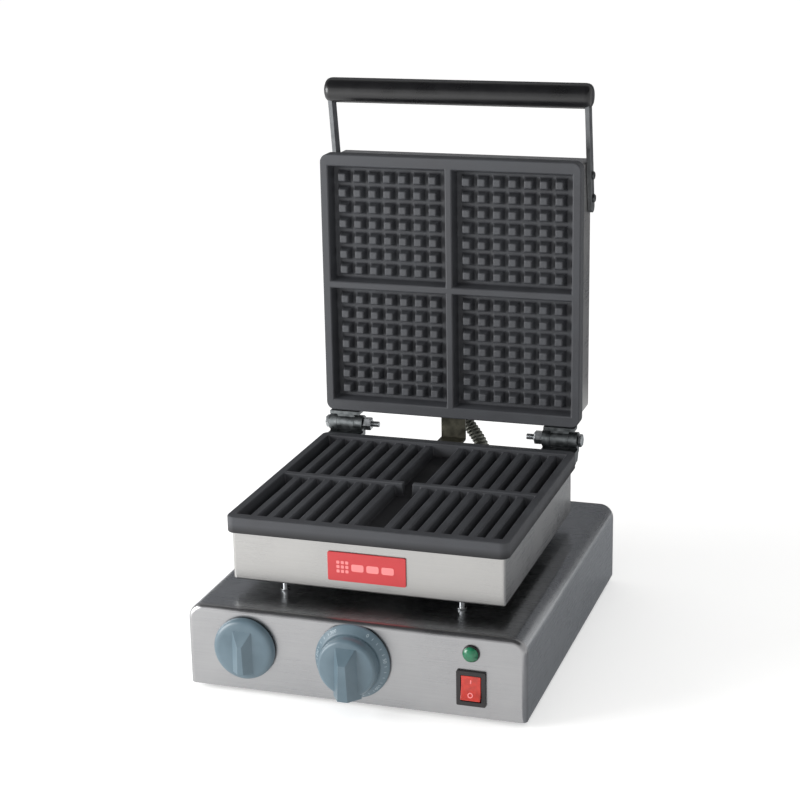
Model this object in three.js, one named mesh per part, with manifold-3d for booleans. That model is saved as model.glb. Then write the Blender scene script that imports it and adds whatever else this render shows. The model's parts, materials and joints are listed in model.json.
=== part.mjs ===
// Electric waffle maker: control base, lower baking unit on four posts, hinged lid standing open.
// Units are millimetres, +Z is up, and the control panel faces -Y.
// The origin is at the middle of the bounding box in plan, on the table.
import * as THREE from 'three';
import { mergeVertices } from 'three/addons/utils/BufferGeometryUtils.js';
import Module from 'manifold-3d';

// ---- driving dimensions ----
const BASE_WIDTH = 300;
const BASE_DEPTH = 340;
const BASE_HEIGHT = 73;
const BASE_EDGE_RADIUS = 13;
const FOOT_HEIGHT = 5;
const FOOT_RADIUS = 10;
const FOOT_INSET = 28;
const PLATE_WIDTH = 252;
const PLATE_DEPTH = 251;
const PLATE_SETBACK = 33;
const RIM_HEIGHT = 14.7;
const PLATE_CORNER = 8;
const RECESS_DEPTH = 12;
const RECESS_WIDTH = 115;
const RECESS_LENGTH = 111.5;
const WALL_DRAFT = 2.4;
const DIVIDER = 6.4;
const GRID_COUNT = 7;
const GRID_PITCH = 14.8;
const STUD_TOP = 7;
const STUD_HEIGHT = 9.5;
const NOTCH_WIDTH = 9;
const HOUSING_HEIGHT = 44;
const HOUSING_INSET_X = 4;
const HOUSING_INSET_Y = 5;
const POST_GAP = 11.4;
const POST_RADIUS = 2.5;
const POST_SPACING = 160;
const HINGE_BEHIND = 13.65;
const HINGE_ABOVE = 6.65;
const HINGE_RADIUS = 8;
const GRIP_RADIUS = 11.75;
const GRIP_LENGTH = 258;
const GRIP_REACH = 56;
const ARM_WIDTH = 12;
const ARM_THICKNESS = 4;
const ARM_TAIL = 14;
const TIMER_KNOB_RADIUS = 27.5;
const DIAL_RADIUS = 33;
const DRUM_RADIUS = 26;
const SWITCH_WIDTH = 25.2;
const SWITCH_HEIGHT = 31;

// ---- clearances and sheet ----
const GAP = 0.3;
const FIT = 0.4;
const SHEET = 1.5;
const PANEL = 2;
const LIP_DEPTH = 10;
const OVER = 1;

// ---- values that follow ----
const baseTop = FOOT_HEIGHT + BASE_HEIGHT;
const frontFace = -BASE_DEPTH / 2;
const housingFloor = baseTop + POST_GAP;
const lowerFace = housingFloor + HOUSING_HEIGHT + RIM_HEIGHT;
const housingWidth = PLATE_WIDTH - 2 * HOUSING_INSET_X;
const housingDepth = PLATE_DEPTH - 2 * HOUSING_INSET_Y;
const plateMiddle = frontFace + PLATE_SETBACK + PLATE_DEPTH / 2;
const plateRear = plateMiddle + PLATE_DEPTH / 2;
const hingeY = plateRear + HINGE_BEHIND;
const hingeZ = lowerFace + HINGE_ABOVE;
const faceGap = 0.5;
const lidFace = faceGap - HINGE_ABOVE;
const controlHeight = FOOT_HEIGHT + BASE_HEIGHT * 0.535;
const quadrant = { x: (DIVIDER + RECESS_WIDTH) / 2, y: (DIVIDER + RECESS_LENGTH) / 2 };
const shaftRadius = 3;
const knobReach = 30;
const glandReach = 16.5;
const postX = POST_SPACING / 2;
const postYs = [plateMiddle - housingDepth / 2 + 15.5, plateMiddle + housingDepth / 2 - 15.5];
const probe = { x: -55, y: plateMiddle - 50 };
const conduitFoot = { x: 30, y: BASE_DEPTH / 2 - 20 };
const conduitHead = { x: 2, z: 31 };
const conduitRadius = 6.5;
const controls = {
  timer: -BASE_WIDTH * 0.323,
  thermostat: 0.5,
  switch: BASE_WIDTH * 0.3445,
};
const lampZ = FOOT_HEIGHT + BASE_HEIGHT * 0.785;
const switchZ = FOOT_HEIGHT + BASE_HEIGHT * 0.36;
const glandAt = { x: -95, z: FOOT_HEIGHT + 28 };

// ---- solids ----
const wasm = await Module();
wasm.setup();

function solid(geometry) {
  const plain = geometry.clone();
  plain.deleteAttribute('normal');
  plain.deleteAttribute('uv');
  const joined = mergeVertices(plain, 1e-4);
  return new wasm.Manifold(new wasm.Mesh({
    numProp: 3,
    vertProperties: new Float32Array(joined.attributes.position.array),
    triVerts: new Uint32Array(joined.index.array),
  }));
}

function surface(body) {
  const mesh = body.getMesh();
  const geometry = new THREE.BufferGeometry();
  const stride = mesh.numProp;
  const count = mesh.vertProperties.length / stride;
  const positions = new Float32Array(count * 3);
  for (let i = 0; i < count; i += 1) {
    for (let k = 0; k < 3; k += 1) positions[i * 3 + k] = mesh.vertProperties[i * stride + k];
  }
  geometry.setAttribute('position', new THREE.BufferAttribute(positions, 3));
  geometry.setIndex(Array.from(mesh.triVerts));
  const flat = geometry.toNonIndexed();
  flat.computeVertexNormals();
  return flat;
}

function join(...pieces) {
  return pieces.map((p) => (p.isBufferGeometry ? solid(p) : p)).reduce((a, b) => a.add(b));
}

function cut(body, ...tools) {
  const start = body.isBufferGeometry ? solid(body) : body;
  return tools.map((p) => (p.isBufferGeometry ? solid(p) : p)).reduce((a, b) => a.subtract(b), start);
}

// ---- shapes ----
function box(x0, x1, y0, y1, z0, z1) {
  const geometry = new THREE.BoxGeometry(x1 - x0, y1 - y0, z1 - z0);
  return geometry.translate((x0 + x1) / 2, (y0 + y1) / 2, (z0 + z1) / 2);
}

// Turns a Z-built geometry so that its +Z points along the named direction.
function pointing(geometry, way) {
  if (way === '+x') geometry.rotateY(Math.PI / 2);
  if (way === '-x') geometry.rotateY(-Math.PI / 2);
  if (way === '+y') geometry.rotateX(-Math.PI / 2);
  if (way === '-y') geometry.rotateX(Math.PI / 2);
  return geometry;
}

function rod(radius, z0, z1, sides = 16) {
  const geometry = new THREE.CylinderGeometry(radius, radius, z1 - z0, sides);
  return geometry.rotateX(Math.PI / 2).translate(0, 0, (z0 + z1) / 2);
}

function hexagon(acrossFlats, z0, z1) {
  return rod(acrossFlats / Math.sqrt(3), z0, z1, 6);
}

// A turned piece about Z from [radius, z] pairs that start and end on the axis.
function turned(profile, sides = 24) {
  const points = profile.map(([r, z]) => new THREE.Vector2(r, z));
  return new THREE.LatheGeometry(points, sides).rotateX(Math.PI / 2);
}

function extruded(shape, depth, sides = 3) {
  return new THREE.ExtrudeGeometry(shape, { depth, bevelEnabled: false, curveSegments: sides });
}

// Rectangle about the origin with one radius per corner: lower left, lower right, top right, top left.
function rectangle(width, height, radii, steps = 3) {
  const each = Array.isArray(radii) ? radii : [radii, radii, radii, radii];
  const signs = [[-1, -1], [1, -1], [1, 1], [-1, 1]];
  const points = [];
  each.forEach((r, k) => {
    const [i, j] = signs[k];
    const middle = [i * (width / 2 - r), j * (height / 2 - r)];
    const arc = r > 0 ? steps : 0;
    for (let n = 0; n <= arc; n += 1) {
      const angle = Math.PI * (1 + k / 2) + (n / Math.max(arc, 1)) * (Math.PI / 2);
      points.push(new THREE.Vector2(middle[0] + r * Math.cos(angle), middle[1] + r * Math.sin(angle)));
    }
  });
  return new THREE.Shape(points);
}

function slab(width, depth, radius, z0, z1) {
  return extruded(rectangle(width, depth, radius), z1 - z0).translate(0, 0, z0);
}

// Four-sided block whose half sizes change from the bottom to the top.
function tapered(x, y, low, high, z0, z1) {
  const corner = (half, z) => [[-1, -1], [1, -1], [1, 1], [-1, 1]]
    .map(([i, j]) => [x + i * half[0], y + j * half[1], z]);
  const geometry = new THREE.BufferGeometry();
  const points = [...corner(low, z0), ...corner(high, z1)].flat();
  geometry.setAttribute('position', new THREE.Float32BufferAttribute(points, 3));
  geometry.setIndex([0, 2, 1, 0, 3, 2, 4, 5, 6, 4, 6, 7, 0, 1, 5, 0, 5, 4,
    1, 2, 6, 1, 6, 5, 2, 3, 7, 2, 7, 6, 3, 0, 4, 3, 4, 7]);
  return geometry;
}

// A path through given points that is sampled exactly at them.
class BentPath extends THREE.Curve {
  constructor(points) {
    super();
    this.points = points;
  }

  getPoint(t, target = new THREE.Vector3()) {
    const place = Math.min(Math.max(t, 0), 1) * (this.points.length - 1);
    const i = Math.min(Math.floor(place + 1e-6), this.points.length - 2);
    return target.lerpVectors(this.points[i], this.points[i + 1], place - i);
  }

  getPointAt(u, target) {
    return this.getPoint(u, target);
  }

  getTangent(t, target = new THREE.Vector3()) {
    const last = this.points.length - 1;
    const i = Math.round(t * last);
    const before = this.points[i].clone().sub(this.points[Math.max(i - 1, 0)]).normalize();
    const after = this.points[Math.min(i + 1, last)].clone().sub(this.points[i]).normalize();
    return target.copy(before.add(after)).normalize();
  }

  getTangentAt(u, target) {
    return this.getTangent(u, target);
  }
}

// Rounds each inner corner of a list of [x, y, z] corners with the given bend radius.
function bent(corners, radius, steps = 5) {
  const at = corners.map((c) => new THREE.Vector3(...c));
  const points = [at[0]];
  for (let i = 1; i < at.length - 1; i += 1) {
    const back = at[i - 1].clone().sub(at[i]).normalize();
    const on = at[i + 1].clone().sub(at[i]).normalize();
    const half = back.angleTo(on) / 2;
    const reach = radius / Math.tan(half);
    const middle = back.clone().add(on).normalize().multiplyScalar(radius / Math.sin(half)).add(at[i]);
    const from = back.clone().multiplyScalar(reach).add(at[i]).sub(middle);
    const to = on.clone().multiplyScalar(reach).add(at[i]).sub(middle);
    const sweep = from.angleTo(to);
    for (let k = 0; k <= steps; k += 1) {
      const t = k / steps;
      const p = from.clone().multiplyScalar(Math.sin((1 - t) * sweep));
      p.add(to.clone().multiplyScalar(Math.sin(t * sweep))).divideScalar(Math.sin(sweep));
      points.push(p.add(middle));
    }
  }
  points.push(at[at.length - 1]);
  return points;
}

function tube(points, radius, sides = 8) {
  const shape = new THREE.Shape();
  const angles = [...Array(sides).keys()].map((k) => (k * 2 * Math.PI) / sides);
  shape.setFromPoints(angles.map((a) => new THREE.Vector2(radius * Math.cos(a), radius * Math.sin(a))));
  const options = { steps: points.length - 1, bevelEnabled: false, extrudePath: new BentPath(points) };
  return new THREE.ExtrudeGeometry(shape, options);
}

// ---- materials ----
const finishes = {
  steel: ['#c4c6c8', 0.32, 1],
  darkSteel: ['#77797a', 0.4, 1],
  bracket: ['#8b8b80', 0.45, 1],
  casting: ['#3f4145', 0.6, 0.4],
  bakelite: ['#1d1e20', 0.45, 0],
  knob: ['#6b7b85', 0.5, 0],
  rubber: ['#222222', 0.9, 0],
  wool: ['#d9d3bd', 1, 0],
  sheath: ['#6f655c', 0.6, 1],
  green: ['#1f6b4f', 0.25, 0],
  red: ['#b8342a', 0.35, 0],
  badge: ['#e04a48', 0.4, 0],
  black: ['#1a1a1b', 0.5, 0],
  ceramic: ['#e6e2d8', 0.55, 0],
};

const assembly = new THREE.Group();
assembly.name = 'waffle_maker';
const shift = (knobReach - glandReach) / 2;
assembly.position.y = shift;

function place(parent, name, body, finish, position = [0, 0, 0], rotation = [0, 0, 0]) {
  const [color, roughness, metalness] = finishes[finish];
  const material = new THREE.MeshStandardMaterial({ color, roughness, metalness });
  const mesh = new THREE.Mesh(surface(body.isBufferGeometry ? solid(body) : body), material);
  mesh.name = name;
  mesh.position.set(...position);
  mesh.rotation.set(...rotation);
  parent.add(mesh);
  return mesh;
}

// ---- base box ----
const coverHalf = BASE_DEPTH / 2 - PANEL - GAP;
const lipRadius = BASE_EDGE_RADIUS - SHEET - FIT;

function alongY(shape, y0, y1) {
  return extruded(shape, y1 - y0).rotateX(Math.PI / 2).translate(0, y1, 0);
}

function baseOutline(shrink, radius) {
  return rectangle(BASE_WIDTH - 2 * shrink, BASE_HEIGHT - 2 * shrink, [0, 0, radius, radius], 4);
}

function baseCover() {
  const middle = FOOT_HEIGHT + BASE_HEIGHT / 2;
  const outer = alongY(baseOutline(0, BASE_EDGE_RADIUS), -coverHalf, coverHalf).translate(0, 0, middle);
  const inner = alongY(baseOutline(SHEET, BASE_EDGE_RADIUS - SHEET), -coverHalf - OVER, coverHalf + OVER);
  const flange = 15;
  const half = BASE_WIDTH / 2 - flange;
  const mouth = box(-half, half, -coverHalf - OVER, coverHalf + OVER, FOOT_HEIGHT - OVER, FOOT_HEIGHT + 3);
  const holes = [];
  for (const y of postYs) {
    for (const side of [-1, 1]) {
      holes.push(rod(2.4, baseTop - 5, baseTop + OVER, 10).translate(side * postX, y, 0));
    }
  }
  holes.push(rod(8.3, baseTop - 5, baseTop + OVER).translate(conduitFoot.x, conduitFoot.y, 0));
  holes.push(rod(6, baseTop - 5, baseTop + OVER).translate(probe.x, probe.y, 0));
  return cut(outer, inner.translate(0, 0, middle), mouth, ...holes);
}

// A flat end panel with a lip that slides inside the cover; side is -1 for the front, 1 for the rear.
function endPanel(side, openings) {
  const middle = FOOT_HEIGHT + BASE_HEIGHT / 2;
  const face = (BASE_DEPTH / 2) * side;
  const inside = face - side * PANEL;
  const deep = inside - side * LIP_DEPTH;
  const sorted = (a, b) => [Math.min(a, b), Math.max(a, b)];
  const plate = alongY(baseOutline(0, BASE_EDGE_RADIUS), ...sorted(face, inside)).translate(0, 0, middle);
  const far = deep - side * OVER;
  const lipOuter = alongY(baseOutline(SHEET + FIT, lipRadius), ...sorted(inside + side * 0.5, deep));
  const lipInner = alongY(baseOutline(SHEET + FIT + 1.2, lipRadius - 1.2), ...sorted(inside, far));
  const body = join(plate, cut(lipOuter.translate(0, 0, middle), lipInner.translate(0, 0, middle)));
  return cut(body, ...openings);
}

function across(geometry, x, z) {
  return pointing(geometry, '+y').translate(x, 0, z);
}

const frontReach = [-BASE_DEPTH / 2 - OVER, -BASE_DEPTH / 2 + 6];
const rearReach = [BASE_DEPTH / 2 - 6, BASE_DEPTH / 2 + OVER];

function frontPanel() {
  const [y0, y1] = frontReach;
  const half = [(SWITCH_WIDTH - 2.4) / 2, (SWITCH_HEIGHT - 2.4) / 2];
  return endPanel(-1, [
    across(rod(5.4, y0, y1), controls.timer, controlHeight),
    across(rod(5.4, y0, y1), controls.thermostat, controlHeight),
    across(rod(5.9, y0, y1), controls.switch, lampZ),
    box(controls.switch - half[0], controls.switch + half[0], y0, y1, switchZ - half[1], switchZ + half[1]),
  ]);
}

function rearPanel() {
  const [y0, y1] = rearReach;
  const openings = [across(rod(8.3, y0, y1), glandAt.x, glandAt.z)];
  for (let i = 0; i < 7; i += 1) {
    openings.push(box(8 + i * 14, 13 + i * 14, y0, y1, FOOT_HEIGHT + 20, FOOT_HEIGHT + 54));
  }
  return endPanel(1, openings);
}

const plateLevel = FOOT_HEIGHT + SHEET + GAP;

function bottomPlate() {
  const width = BASE_WIDTH - 2 * (SHEET + 0.5);
  const depth = BASE_DEPTH - 2 * (PANEL + LIP_DEPTH + 0.5);
  const plate = slab(width, depth, 0, plateLevel, plateLevel + SHEET);
  const holes = [];
  for (const i of [-1, 1]) {
    for (const j of [-1, 1]) {
      const at = [i * (BASE_WIDTH / 2 - FOOT_INSET), j * (BASE_DEPTH / 2 - FOOT_INSET)];
      holes.push(rod(3.4, plateLevel - OVER, plateLevel + 3, 10).translate(...at, 0));
    }
  }
  for (let i = 0; i < 7; i += 1) {
    const slot = slab(6, 60, 0, plateLevel - OVER, plateLevel + 3);
    holes.push(slot.translate((i - 3) * 18, -30, 0));
  }
  return cut(plate, ...holes);
}

function foot() {
  const top = plateLevel - GAP;
  const head = plateLevel + SHEET + GAP;
  return turned([[0, 0], [FOOT_RADIUS - 1.2, 0], [FOOT_RADIUS, 1.2], [FOOT_RADIUS - 0.6, top],
    [3, top], [3, head], [4.6, head], [3.4, head + 3], [0, head + 3]], 14);
}

place(assembly, 'base_cover', baseCover(), 'steel');
place(assembly, 'front_panel', frontPanel(), 'steel');
place(assembly, 'rear_panel', rearPanel(), 'steel');
place(assembly, 'bottom_plate', bottomPlate(), 'steel');
const corners = { front_left: [-1, -1], front_right: [1, -1], rear_left: [-1, 1], rear_right: [1, 1] };
for (const [corner, [i, j]] of Object.entries(corners)) {
  const at = [i * (BASE_WIDTH / 2 - FOOT_INSET), j * (BASE_DEPTH / 2 - FOOT_INSET), 0];
  place(assembly, `foot_${corner}`, foot(), 'rubber', at);
}

// ---- controls, built along +Z with the panel's outer face at z = 0 and turned to point forwards ----
const turnedOut = [Math.PI / 2, 0, 0];

function shaftSection(clearance = 0) {
  const r = shaftRadius + clearance;
  const flat = shaftRadius * 0.6 + clearance;
  const start = Math.asin(flat / r);
  const shape = new THREE.Shape();
  shape.absarc(0, 0, r, Math.PI - start, 2 * Math.PI + start);
  shape.closePath();
  return shape;
}

function controlBody(width, height, depth, bodyRadius) {
  const back = -PANEL - GAP;
  const flange = slab(width + 8, height + 8, 2, back - 2, back);
  const block = slab(width, height, bodyRadius, back - depth, back - 1);
  const bush = rod(5, back - 1, 0.7, 14);
  const bore = rod(shaftRadius + GAP, -PANEL - 17, 2, 14);
  return cut(join(flange, block, bush), bore);
}

function shaft(reach) {
  const round = rod(shaftRadius, -PANEL - 16, 1, 14);
  return join(round, extruded(shaftSection(), reach - 0.5, 8).translate(0, 0, 0.5));
}

function gripBar(length, width, z0, z1) {
  const low = [length / 2, width / 2];
  const high = [length / 2 - 1.2, width / 2 - 2];
  return tapered(0, 0, [low[1], low[0]], [high[1], high[0]], z0, z1);
}

function timerKnob() {
  const r = TIMER_KNOB_RADIUS;
  const disc = turned([[0, 1], [r - 0.6, 1], [r, 1.6], [r - 0.4, 5.5], [r - 2.2, 8], [r - 6, 8.6],
    [0, 8.6]], 30);
  const bore = extruded(shaftSection(GAP), 11.5, 8).translate(0, 0, 0.5);
  const hollow = rod(6.2, 0, 2.2, 12);
  return cut(join(disc, gripBar(1.7 * r, 11, 7.6, 15)), bore, hollow);
}

function thermostatDial() {
  const r = DIAL_RADIUS;
  const skirt = turned([[0, 1], [r - 0.5, 1], [r, 1.5], [r, 3.5], [r - 5.5, 9], [0, 9]], 32);
  return cut(skirt, rod(8.3, 0, 10));
}

function thermostatKnob() {
  const r = DRUM_RADIUS;
  const drum = turned([[0, 2], [8, 2], [8, 9.3], [r, 9.3], [r, 18], [r - 1.6, 20], [0, 20]], 30);
  const bore = extruded(shaftSection(GAP), 15.5, 8).translate(0, 0, 0.5);
  return cut(join(drum, gripBar(2 * r + 1, 14, 19, knobReach)), bore);
}

function lampBody() {
  const ringBody = turned([[0, GAP], [7.4, GAP], [7.4, 1.2], [6.9, 2], [0, 2]], 20);
  const barrel = rod(5.5, -20, 1, 14);
  return cut(join(ringBody, barrel), rod(5, -6, 3, 20));
}

function lampLens() {
  return turned([[0, -4], [4.6, -4], [4.6, 2.4], [6.3, 2.4], [6, 3.6], [4.6, 4.9], [2.4, 5.7], [0, 6]], 20);
}

const rockerHalf = (SWITCH_HEIGHT - 8) / 2;
const rockerWidth = SWITCH_WIDTH - 6.4;
const rockerPivot = -3.5;
const rockerTilt = (8 * Math.PI) / 180;

function switchBody() {
  const bezel = slab(SWITCH_WIDTH, SWITCH_HEIGHT, 1.2, GAP, 2.4);
  const block = slab(SWITCH_WIDTH - 3, SWITCH_HEIGHT - 3, 0.6, -24, 1);
  const well = slab(rockerWidth + 0.8, 2 * rockerHalf + 3.2, 0.4, -9.5, 4);
  const socket = pointing(rod(1.9, -rockerWidth / 2 - 1.6, rockerWidth / 2 + 1.6, 10), '+x');
  return cut(join(bezel, block), well, socket.translate(0, 0, rockerPivot));
}

function switchRocker() {
  const rise = rockerHalf * Math.tan(rockerTilt);
  const shape = new THREE.Shape();
  const outline = [[-3, -4], [3, -4], [rockerHalf - 0.6, 1], [rockerHalf, 6 + rise - 0.4],
    [rockerHalf - 0.5, 6 + rise], [0, 6], [-rockerHalf + 0.5, 6 + rise], [-rockerHalf, 6 + rise - 0.4],
    [-rockerHalf + 0.6, 1]];
  shape.setFromPoints(outline.map(([a, b]) => new THREE.Vector2(a, b)));
  const paddle = extruded(shape, rockerWidth).translate(0, 0, -rockerWidth / 2);
  // The outline's first axis becomes the panel's height and its second the outward direction.
  const turn = new THREE.Matrix4().makeBasis(
    new THREE.Vector3(0, 1, 0), new THREE.Vector3(0, 0, 1), new THREE.Vector3(1, 0, 0),
  );
  paddle.applyMatrix4(turn);
  return join(paddle, pointing(rod(1.5, -rockerWidth / 2 - 1.2, rockerWidth / 2 + 1.2, 10), '+x'));
}

const atPanel = (x, z) => [x, frontFace, z];
place(assembly, 'timer_body', controlBody(36, 36, 30, 3), 'ceramic', atPanel(controls.timer, controlHeight),
  turnedOut);
place(assembly, 'timer_shaft', shaft(11), 'darkSteel', atPanel(controls.timer, controlHeight), turnedOut);
place(assembly, 'timer_knob', timerKnob(), 'knob', atPanel(controls.timer, controlHeight), turnedOut);
place(assembly, 'thermostat_body', controlBody(34, 40, 24, 8), 'ceramic',
  atPanel(controls.thermostat, controlHeight), turnedOut);
place(assembly, 'thermostat_shaft', shaft(15), 'darkSteel', atPanel(controls.thermostat, controlHeight),
  turnedOut);
place(assembly, 'thermostat_dial', thermostatDial(), 'knob', atPanel(controls.thermostat, controlHeight),
  turnedOut);
place(assembly, 'thermostat_knob', thermostatKnob(), 'knob', atPanel(controls.thermostat, controlHeight),
  turnedOut);
place(assembly, 'indicator_body', lampBody(), 'black', atPanel(controls.switch, lampZ), turnedOut);
place(assembly, 'indicator_lens', lampLens(), 'green', atPanel(controls.switch, lampZ), turnedOut);
place(assembly, 'switch_body', switchBody(), 'black', atPanel(controls.switch, switchZ), turnedOut);
place(assembly, 'switch_rocker', switchRocker(), 'red',
  [controls.switch, frontFace - rockerPivot, switchZ], [Math.PI / 2 - rockerTilt, 0, 0]);

// ---- wiring side ----
function terminalBlock() {
  const holes = [];
  for (let i = -1; i <= 1; i += 1) {
    for (const j of [-1, 1]) holes.push(rod(2.8, 8, 20, 8).translate(i * 15, j * 5.5, 0));
    holes.push(pointing(rod(2.2, -14, 14, 8), '+y').translate(i * 15, 0, 6));
  }
  return cut(box(-24, 24, -11, 11, 0, 16), ...holes);
}

function glandBody() {
  const hex = hexagon(20, GAP, 7);
  const collar = turned([[0, 6], [8.6, 6], [8.6, 13], [6.6, glandReach], [0, glandReach]], 20);
  const thread = rod(8, -8, 1, 14);
  return cut(join(hex, collar, thread), rod(4, -9, glandReach + 1, 14));
}

function glandNut() {
  return cut(hexagon(21, -PANEL - GAP - 4, -PANEL - GAP), rod(8.3, -12, 0));
}

function thermostatBulb() {
  const plateUnder = lowerFace - RIM_HEIGHT - 5;
  const bulbZ = plateUnder - 4;
  const start = [controls.thermostat + 8, frontFace + PANEL + 27, controlHeight];
  const corner = [controls.thermostat + 8, probe.y - 20, controlHeight];
  const below = [probe.x, probe.y, controlHeight];
  const route = [start, corner, below, [probe.x, probe.y, bulbZ], [probe.x, probe.y + 26, bulbZ]];
  const wire = tube(bent(route, 10, 3), 1.1, 6);
  const bulb = turned([[0, 0], [3, 0.8], [3, 64], [0, 66]], 10);
  return join(wire, pointing(bulb, '+y').translate(probe.x, probe.y + 22, bulbZ));
}

place(assembly, 'terminal_block', terminalBlock(), 'ceramic', [70, 60, plateLevel + SHEET + GAP]);
const glandPlace = [glandAt.x, BASE_DEPTH / 2, glandAt.z];
place(assembly, 'gland_body', glandBody(), 'black', glandPlace, [-Math.PI / 2, 0, 0]);
place(assembly, 'gland_nut', glandNut(), 'black', glandPlace, [-Math.PI / 2, 0, 0]);
place(assembly, 'thermostat_bulb', thermostatBulb(), 'darkSteel');

// ---- posts ----
function post() {
  const r = POST_RADIUS;
  const stub = 2;
  return turned([[0, -6], [stub, -6], [stub, GAP], [r, GAP], [r, POST_GAP - GAP], [stub, POST_GAP - GAP],
    [stub, POST_GAP + 6], [0, POST_GAP + 6]], 12);
}

for (const [corner, [i, j]] of Object.entries(corners)) {
  place(assembly, `post_${corner}`, post(), 'steel', [i * postX, postYs[(j + 1) / 2], baseTop]);
}

// ---- baking units, face up at z = 0 about their own middle; hinge is 1 when the hinge lies at +Y ----
const spigot = 5;
const housingBottom = -RIM_HEIGHT - HOUSING_HEIGHT;
const elementRadius = 4;
const elementZ = -RIM_HEIGHT - spigot - 0.5 - elementRadius;
const clampTop = elementZ - elementRadius - GAP;
const woolTop = clampTop - 3 - GAP;

function housing(hinge, openings) {
  const outer = slab(housingWidth, housingDepth, 3, housingBottom, -RIM_HEIGHT - GAP);
  const inner = slab(housingWidth - 2 * SHEET, housingDepth - 2 * SHEET, 1.5, housingBottom + SHEET, 0);
  return cut(cut(outer, inner), ...openings);
}

function castBlank() {
  const rim = slab(PLATE_WIDTH, PLATE_DEPTH, PLATE_CORNER, -RIM_HEIGHT, 0);
  const inner = 2 * (SHEET + 0.5);
  const under = slab(housingWidth - inner, housingDepth - inner, 3, -RIM_HEIGHT - spigot, -RIM_HEIGHT + 1);
  return join(rim, under);
}

function recesses() {
  const grow = (WALL_DRAFT / RECESS_DEPTH) * OVER;
  const low = [RECESS_WIDTH / 2 - WALL_DRAFT, RECESS_LENGTH / 2 - WALL_DRAFT];
  const high = [RECESS_WIDTH / 2 + grow, RECESS_LENGTH / 2 + grow];
  const tools = [];
  for (const i of [-1, 1]) {
    for (const j of [-1, 1]) tools.push(tapered(i * quadrant.x, j * quadrant.y, low, high, -RECESS_DEPTH, OVER));
  }
  return tools;
}

const studFoot = STUD_TOP / 2 + STUD_HEIGHT * 0.21;

function studs() {
  const list = [];
  const middle = (GRID_COUNT - 1) / 2;
  for (const i of [-1, 1]) {
    for (const j of [-1, 1]) {
      for (let a = 0; a < GRID_COUNT; a += 1) {
        for (let b = 0; b < GRID_COUNT; b += 1) {
          const x = i * quadrant.x + (a - middle) * GRID_PITCH;
          const y = j * quadrant.y + (b - middle) * GRID_PITCH;
          list.push(tapered(x, y, [studFoot, studFoot], [STUD_TOP / 2, STUD_TOP / 2],
            -RECESS_DEPTH - 0.4, -RECESS_DEPTH + STUD_HEIGHT));
        }
      }
    }
  }
  return list;
}

// Bars run from wall to wall and are rooted in the walls at both ends.
function bars() {
  const list = [];
  const middle = (GRID_COUNT - 1) / 2;
  const long = RECESS_LENGTH / 2;
  for (const i of [-1, 1]) {
    for (const j of [-1, 1]) {
      for (let a = 0; a < GRID_COUNT; a += 1) {
        const x = i * quadrant.x + (a - middle) * GRID_PITCH;
        list.push(tapered(x, j * quadrant.y, [studFoot, long], [STUD_TOP / 2, long],
          -RECESS_DEPTH - 0.4, -RECESS_DEPTH + STUD_HEIGHT));
      }
    }
  }
  return list;
}

function studPlate() {
  return join(cut(castBlank(), ...recesses()), ...studs());
}

// The lower casting has bars, an open middle channel and a notch in its cross rib.
function barPlate() {
  const reach = quadrant.y + RECESS_LENGTH / 2 - WALL_DRAFT;
  const halfWidth = DIVIDER / 2 + WALL_DRAFT + 0.5;
  const inner = DIVIDER / 2 + WALL_DRAFT;
  const channels = [[inner, reach], [-reach, -inner]]
    .map(([y0, y1]) => box(-halfWidth, halfWidth, y0, y1, -RECESS_DEPTH, OVER));
  const notch = box(-NOTCH_WIDTH / 2, NOTCH_WIDTH / 2, -inner - OVER, inner + OVER, -RECESS_DEPTH, OVER);
  return join(cut(castBlank(), ...recesses(), ...channels, notch), ...bars());
}

function heatingElement(hinge) {
  const z = elementZ;
  const side = PLATE_WIDTH / 2 - 31;
  const near = hinge * (PLATE_DEPTH / 2 - 35);
  const far = -near + hinge * 4;
  const end = hinge * 60;
  const route = [[-12, end, z - 18], [-12, end, z], [-12, far, z], [-side, far, z], [-side, near, z],
    [side, near, z], [side, far, z], [12, far, z], [12, end, z], [12, end, z - 18]];
  return tube(bent(route, 11, 3), elementRadius, 8);
}

function clampBar() {
  const bar = slab(210, 16, 0, clampTop - 3, clampTop);
  const pillarTop = -RIM_HEIGHT - spigot - GAP;
  const pillars = [-68, 68].map((x) => rod(5, clampTop - 1, pillarTop, 10).translate(x, 0, 0));
  return join(bar, ...pillars);
}

function insulation(hinge) {
  const pad = slab(housingWidth - 8, housingDepth - 26, 0, woolTop - 9, woolTop);
  const holes = [-12, 12].map((x) => rod(6, woolTop - 12, woolTop + 1, 10).translate(x, hinge * 60, 0));
  holes.push(rod(4, woolTop - 12, woolTop + 1, 10).translate(probe.x, probe.y - plateMiddle, 0));
  return cut(pad, ...holes);
}

function bakingUnit(prefix, hinge, plate, openings) {
  const unit = new THREE.Group();
  unit.name = `${prefix}_unit`;
  place(unit, `${prefix}_housing`, housing(hinge, openings), 'steel');
  place(unit, `${prefix}_plate`, plate, 'casting');
  place(unit, `${prefix}_element`, heatingElement(hinge), 'sheath');
  place(unit, `${prefix}_clamp_bar`, clampBar(), 'darkSteel');
  place(unit, `${prefix}_insulation`, insulation(hinge), 'wool');
  return unit;
}

const floorHoles = [rod(6, housingBottom - OVER, housingBottom + 3, 20)
  .translate(probe.x, probe.y - plateMiddle, 0)];
for (const y of postYs) {
  for (const side of [-1, 1]) {
    const hole = rod(2.4, housingBottom - OVER, housingBottom + 3, 10);
    floorHoles.push(hole.translate(side * postX, y - plateMiddle, 0));
  }
}
const lowerUnit = bakingUnit('lower', 1, barPlate(), floorHoles);
lowerUnit.position.set(0, plateMiddle, lowerFace);
assembly.add(lowerUnit);

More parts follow.
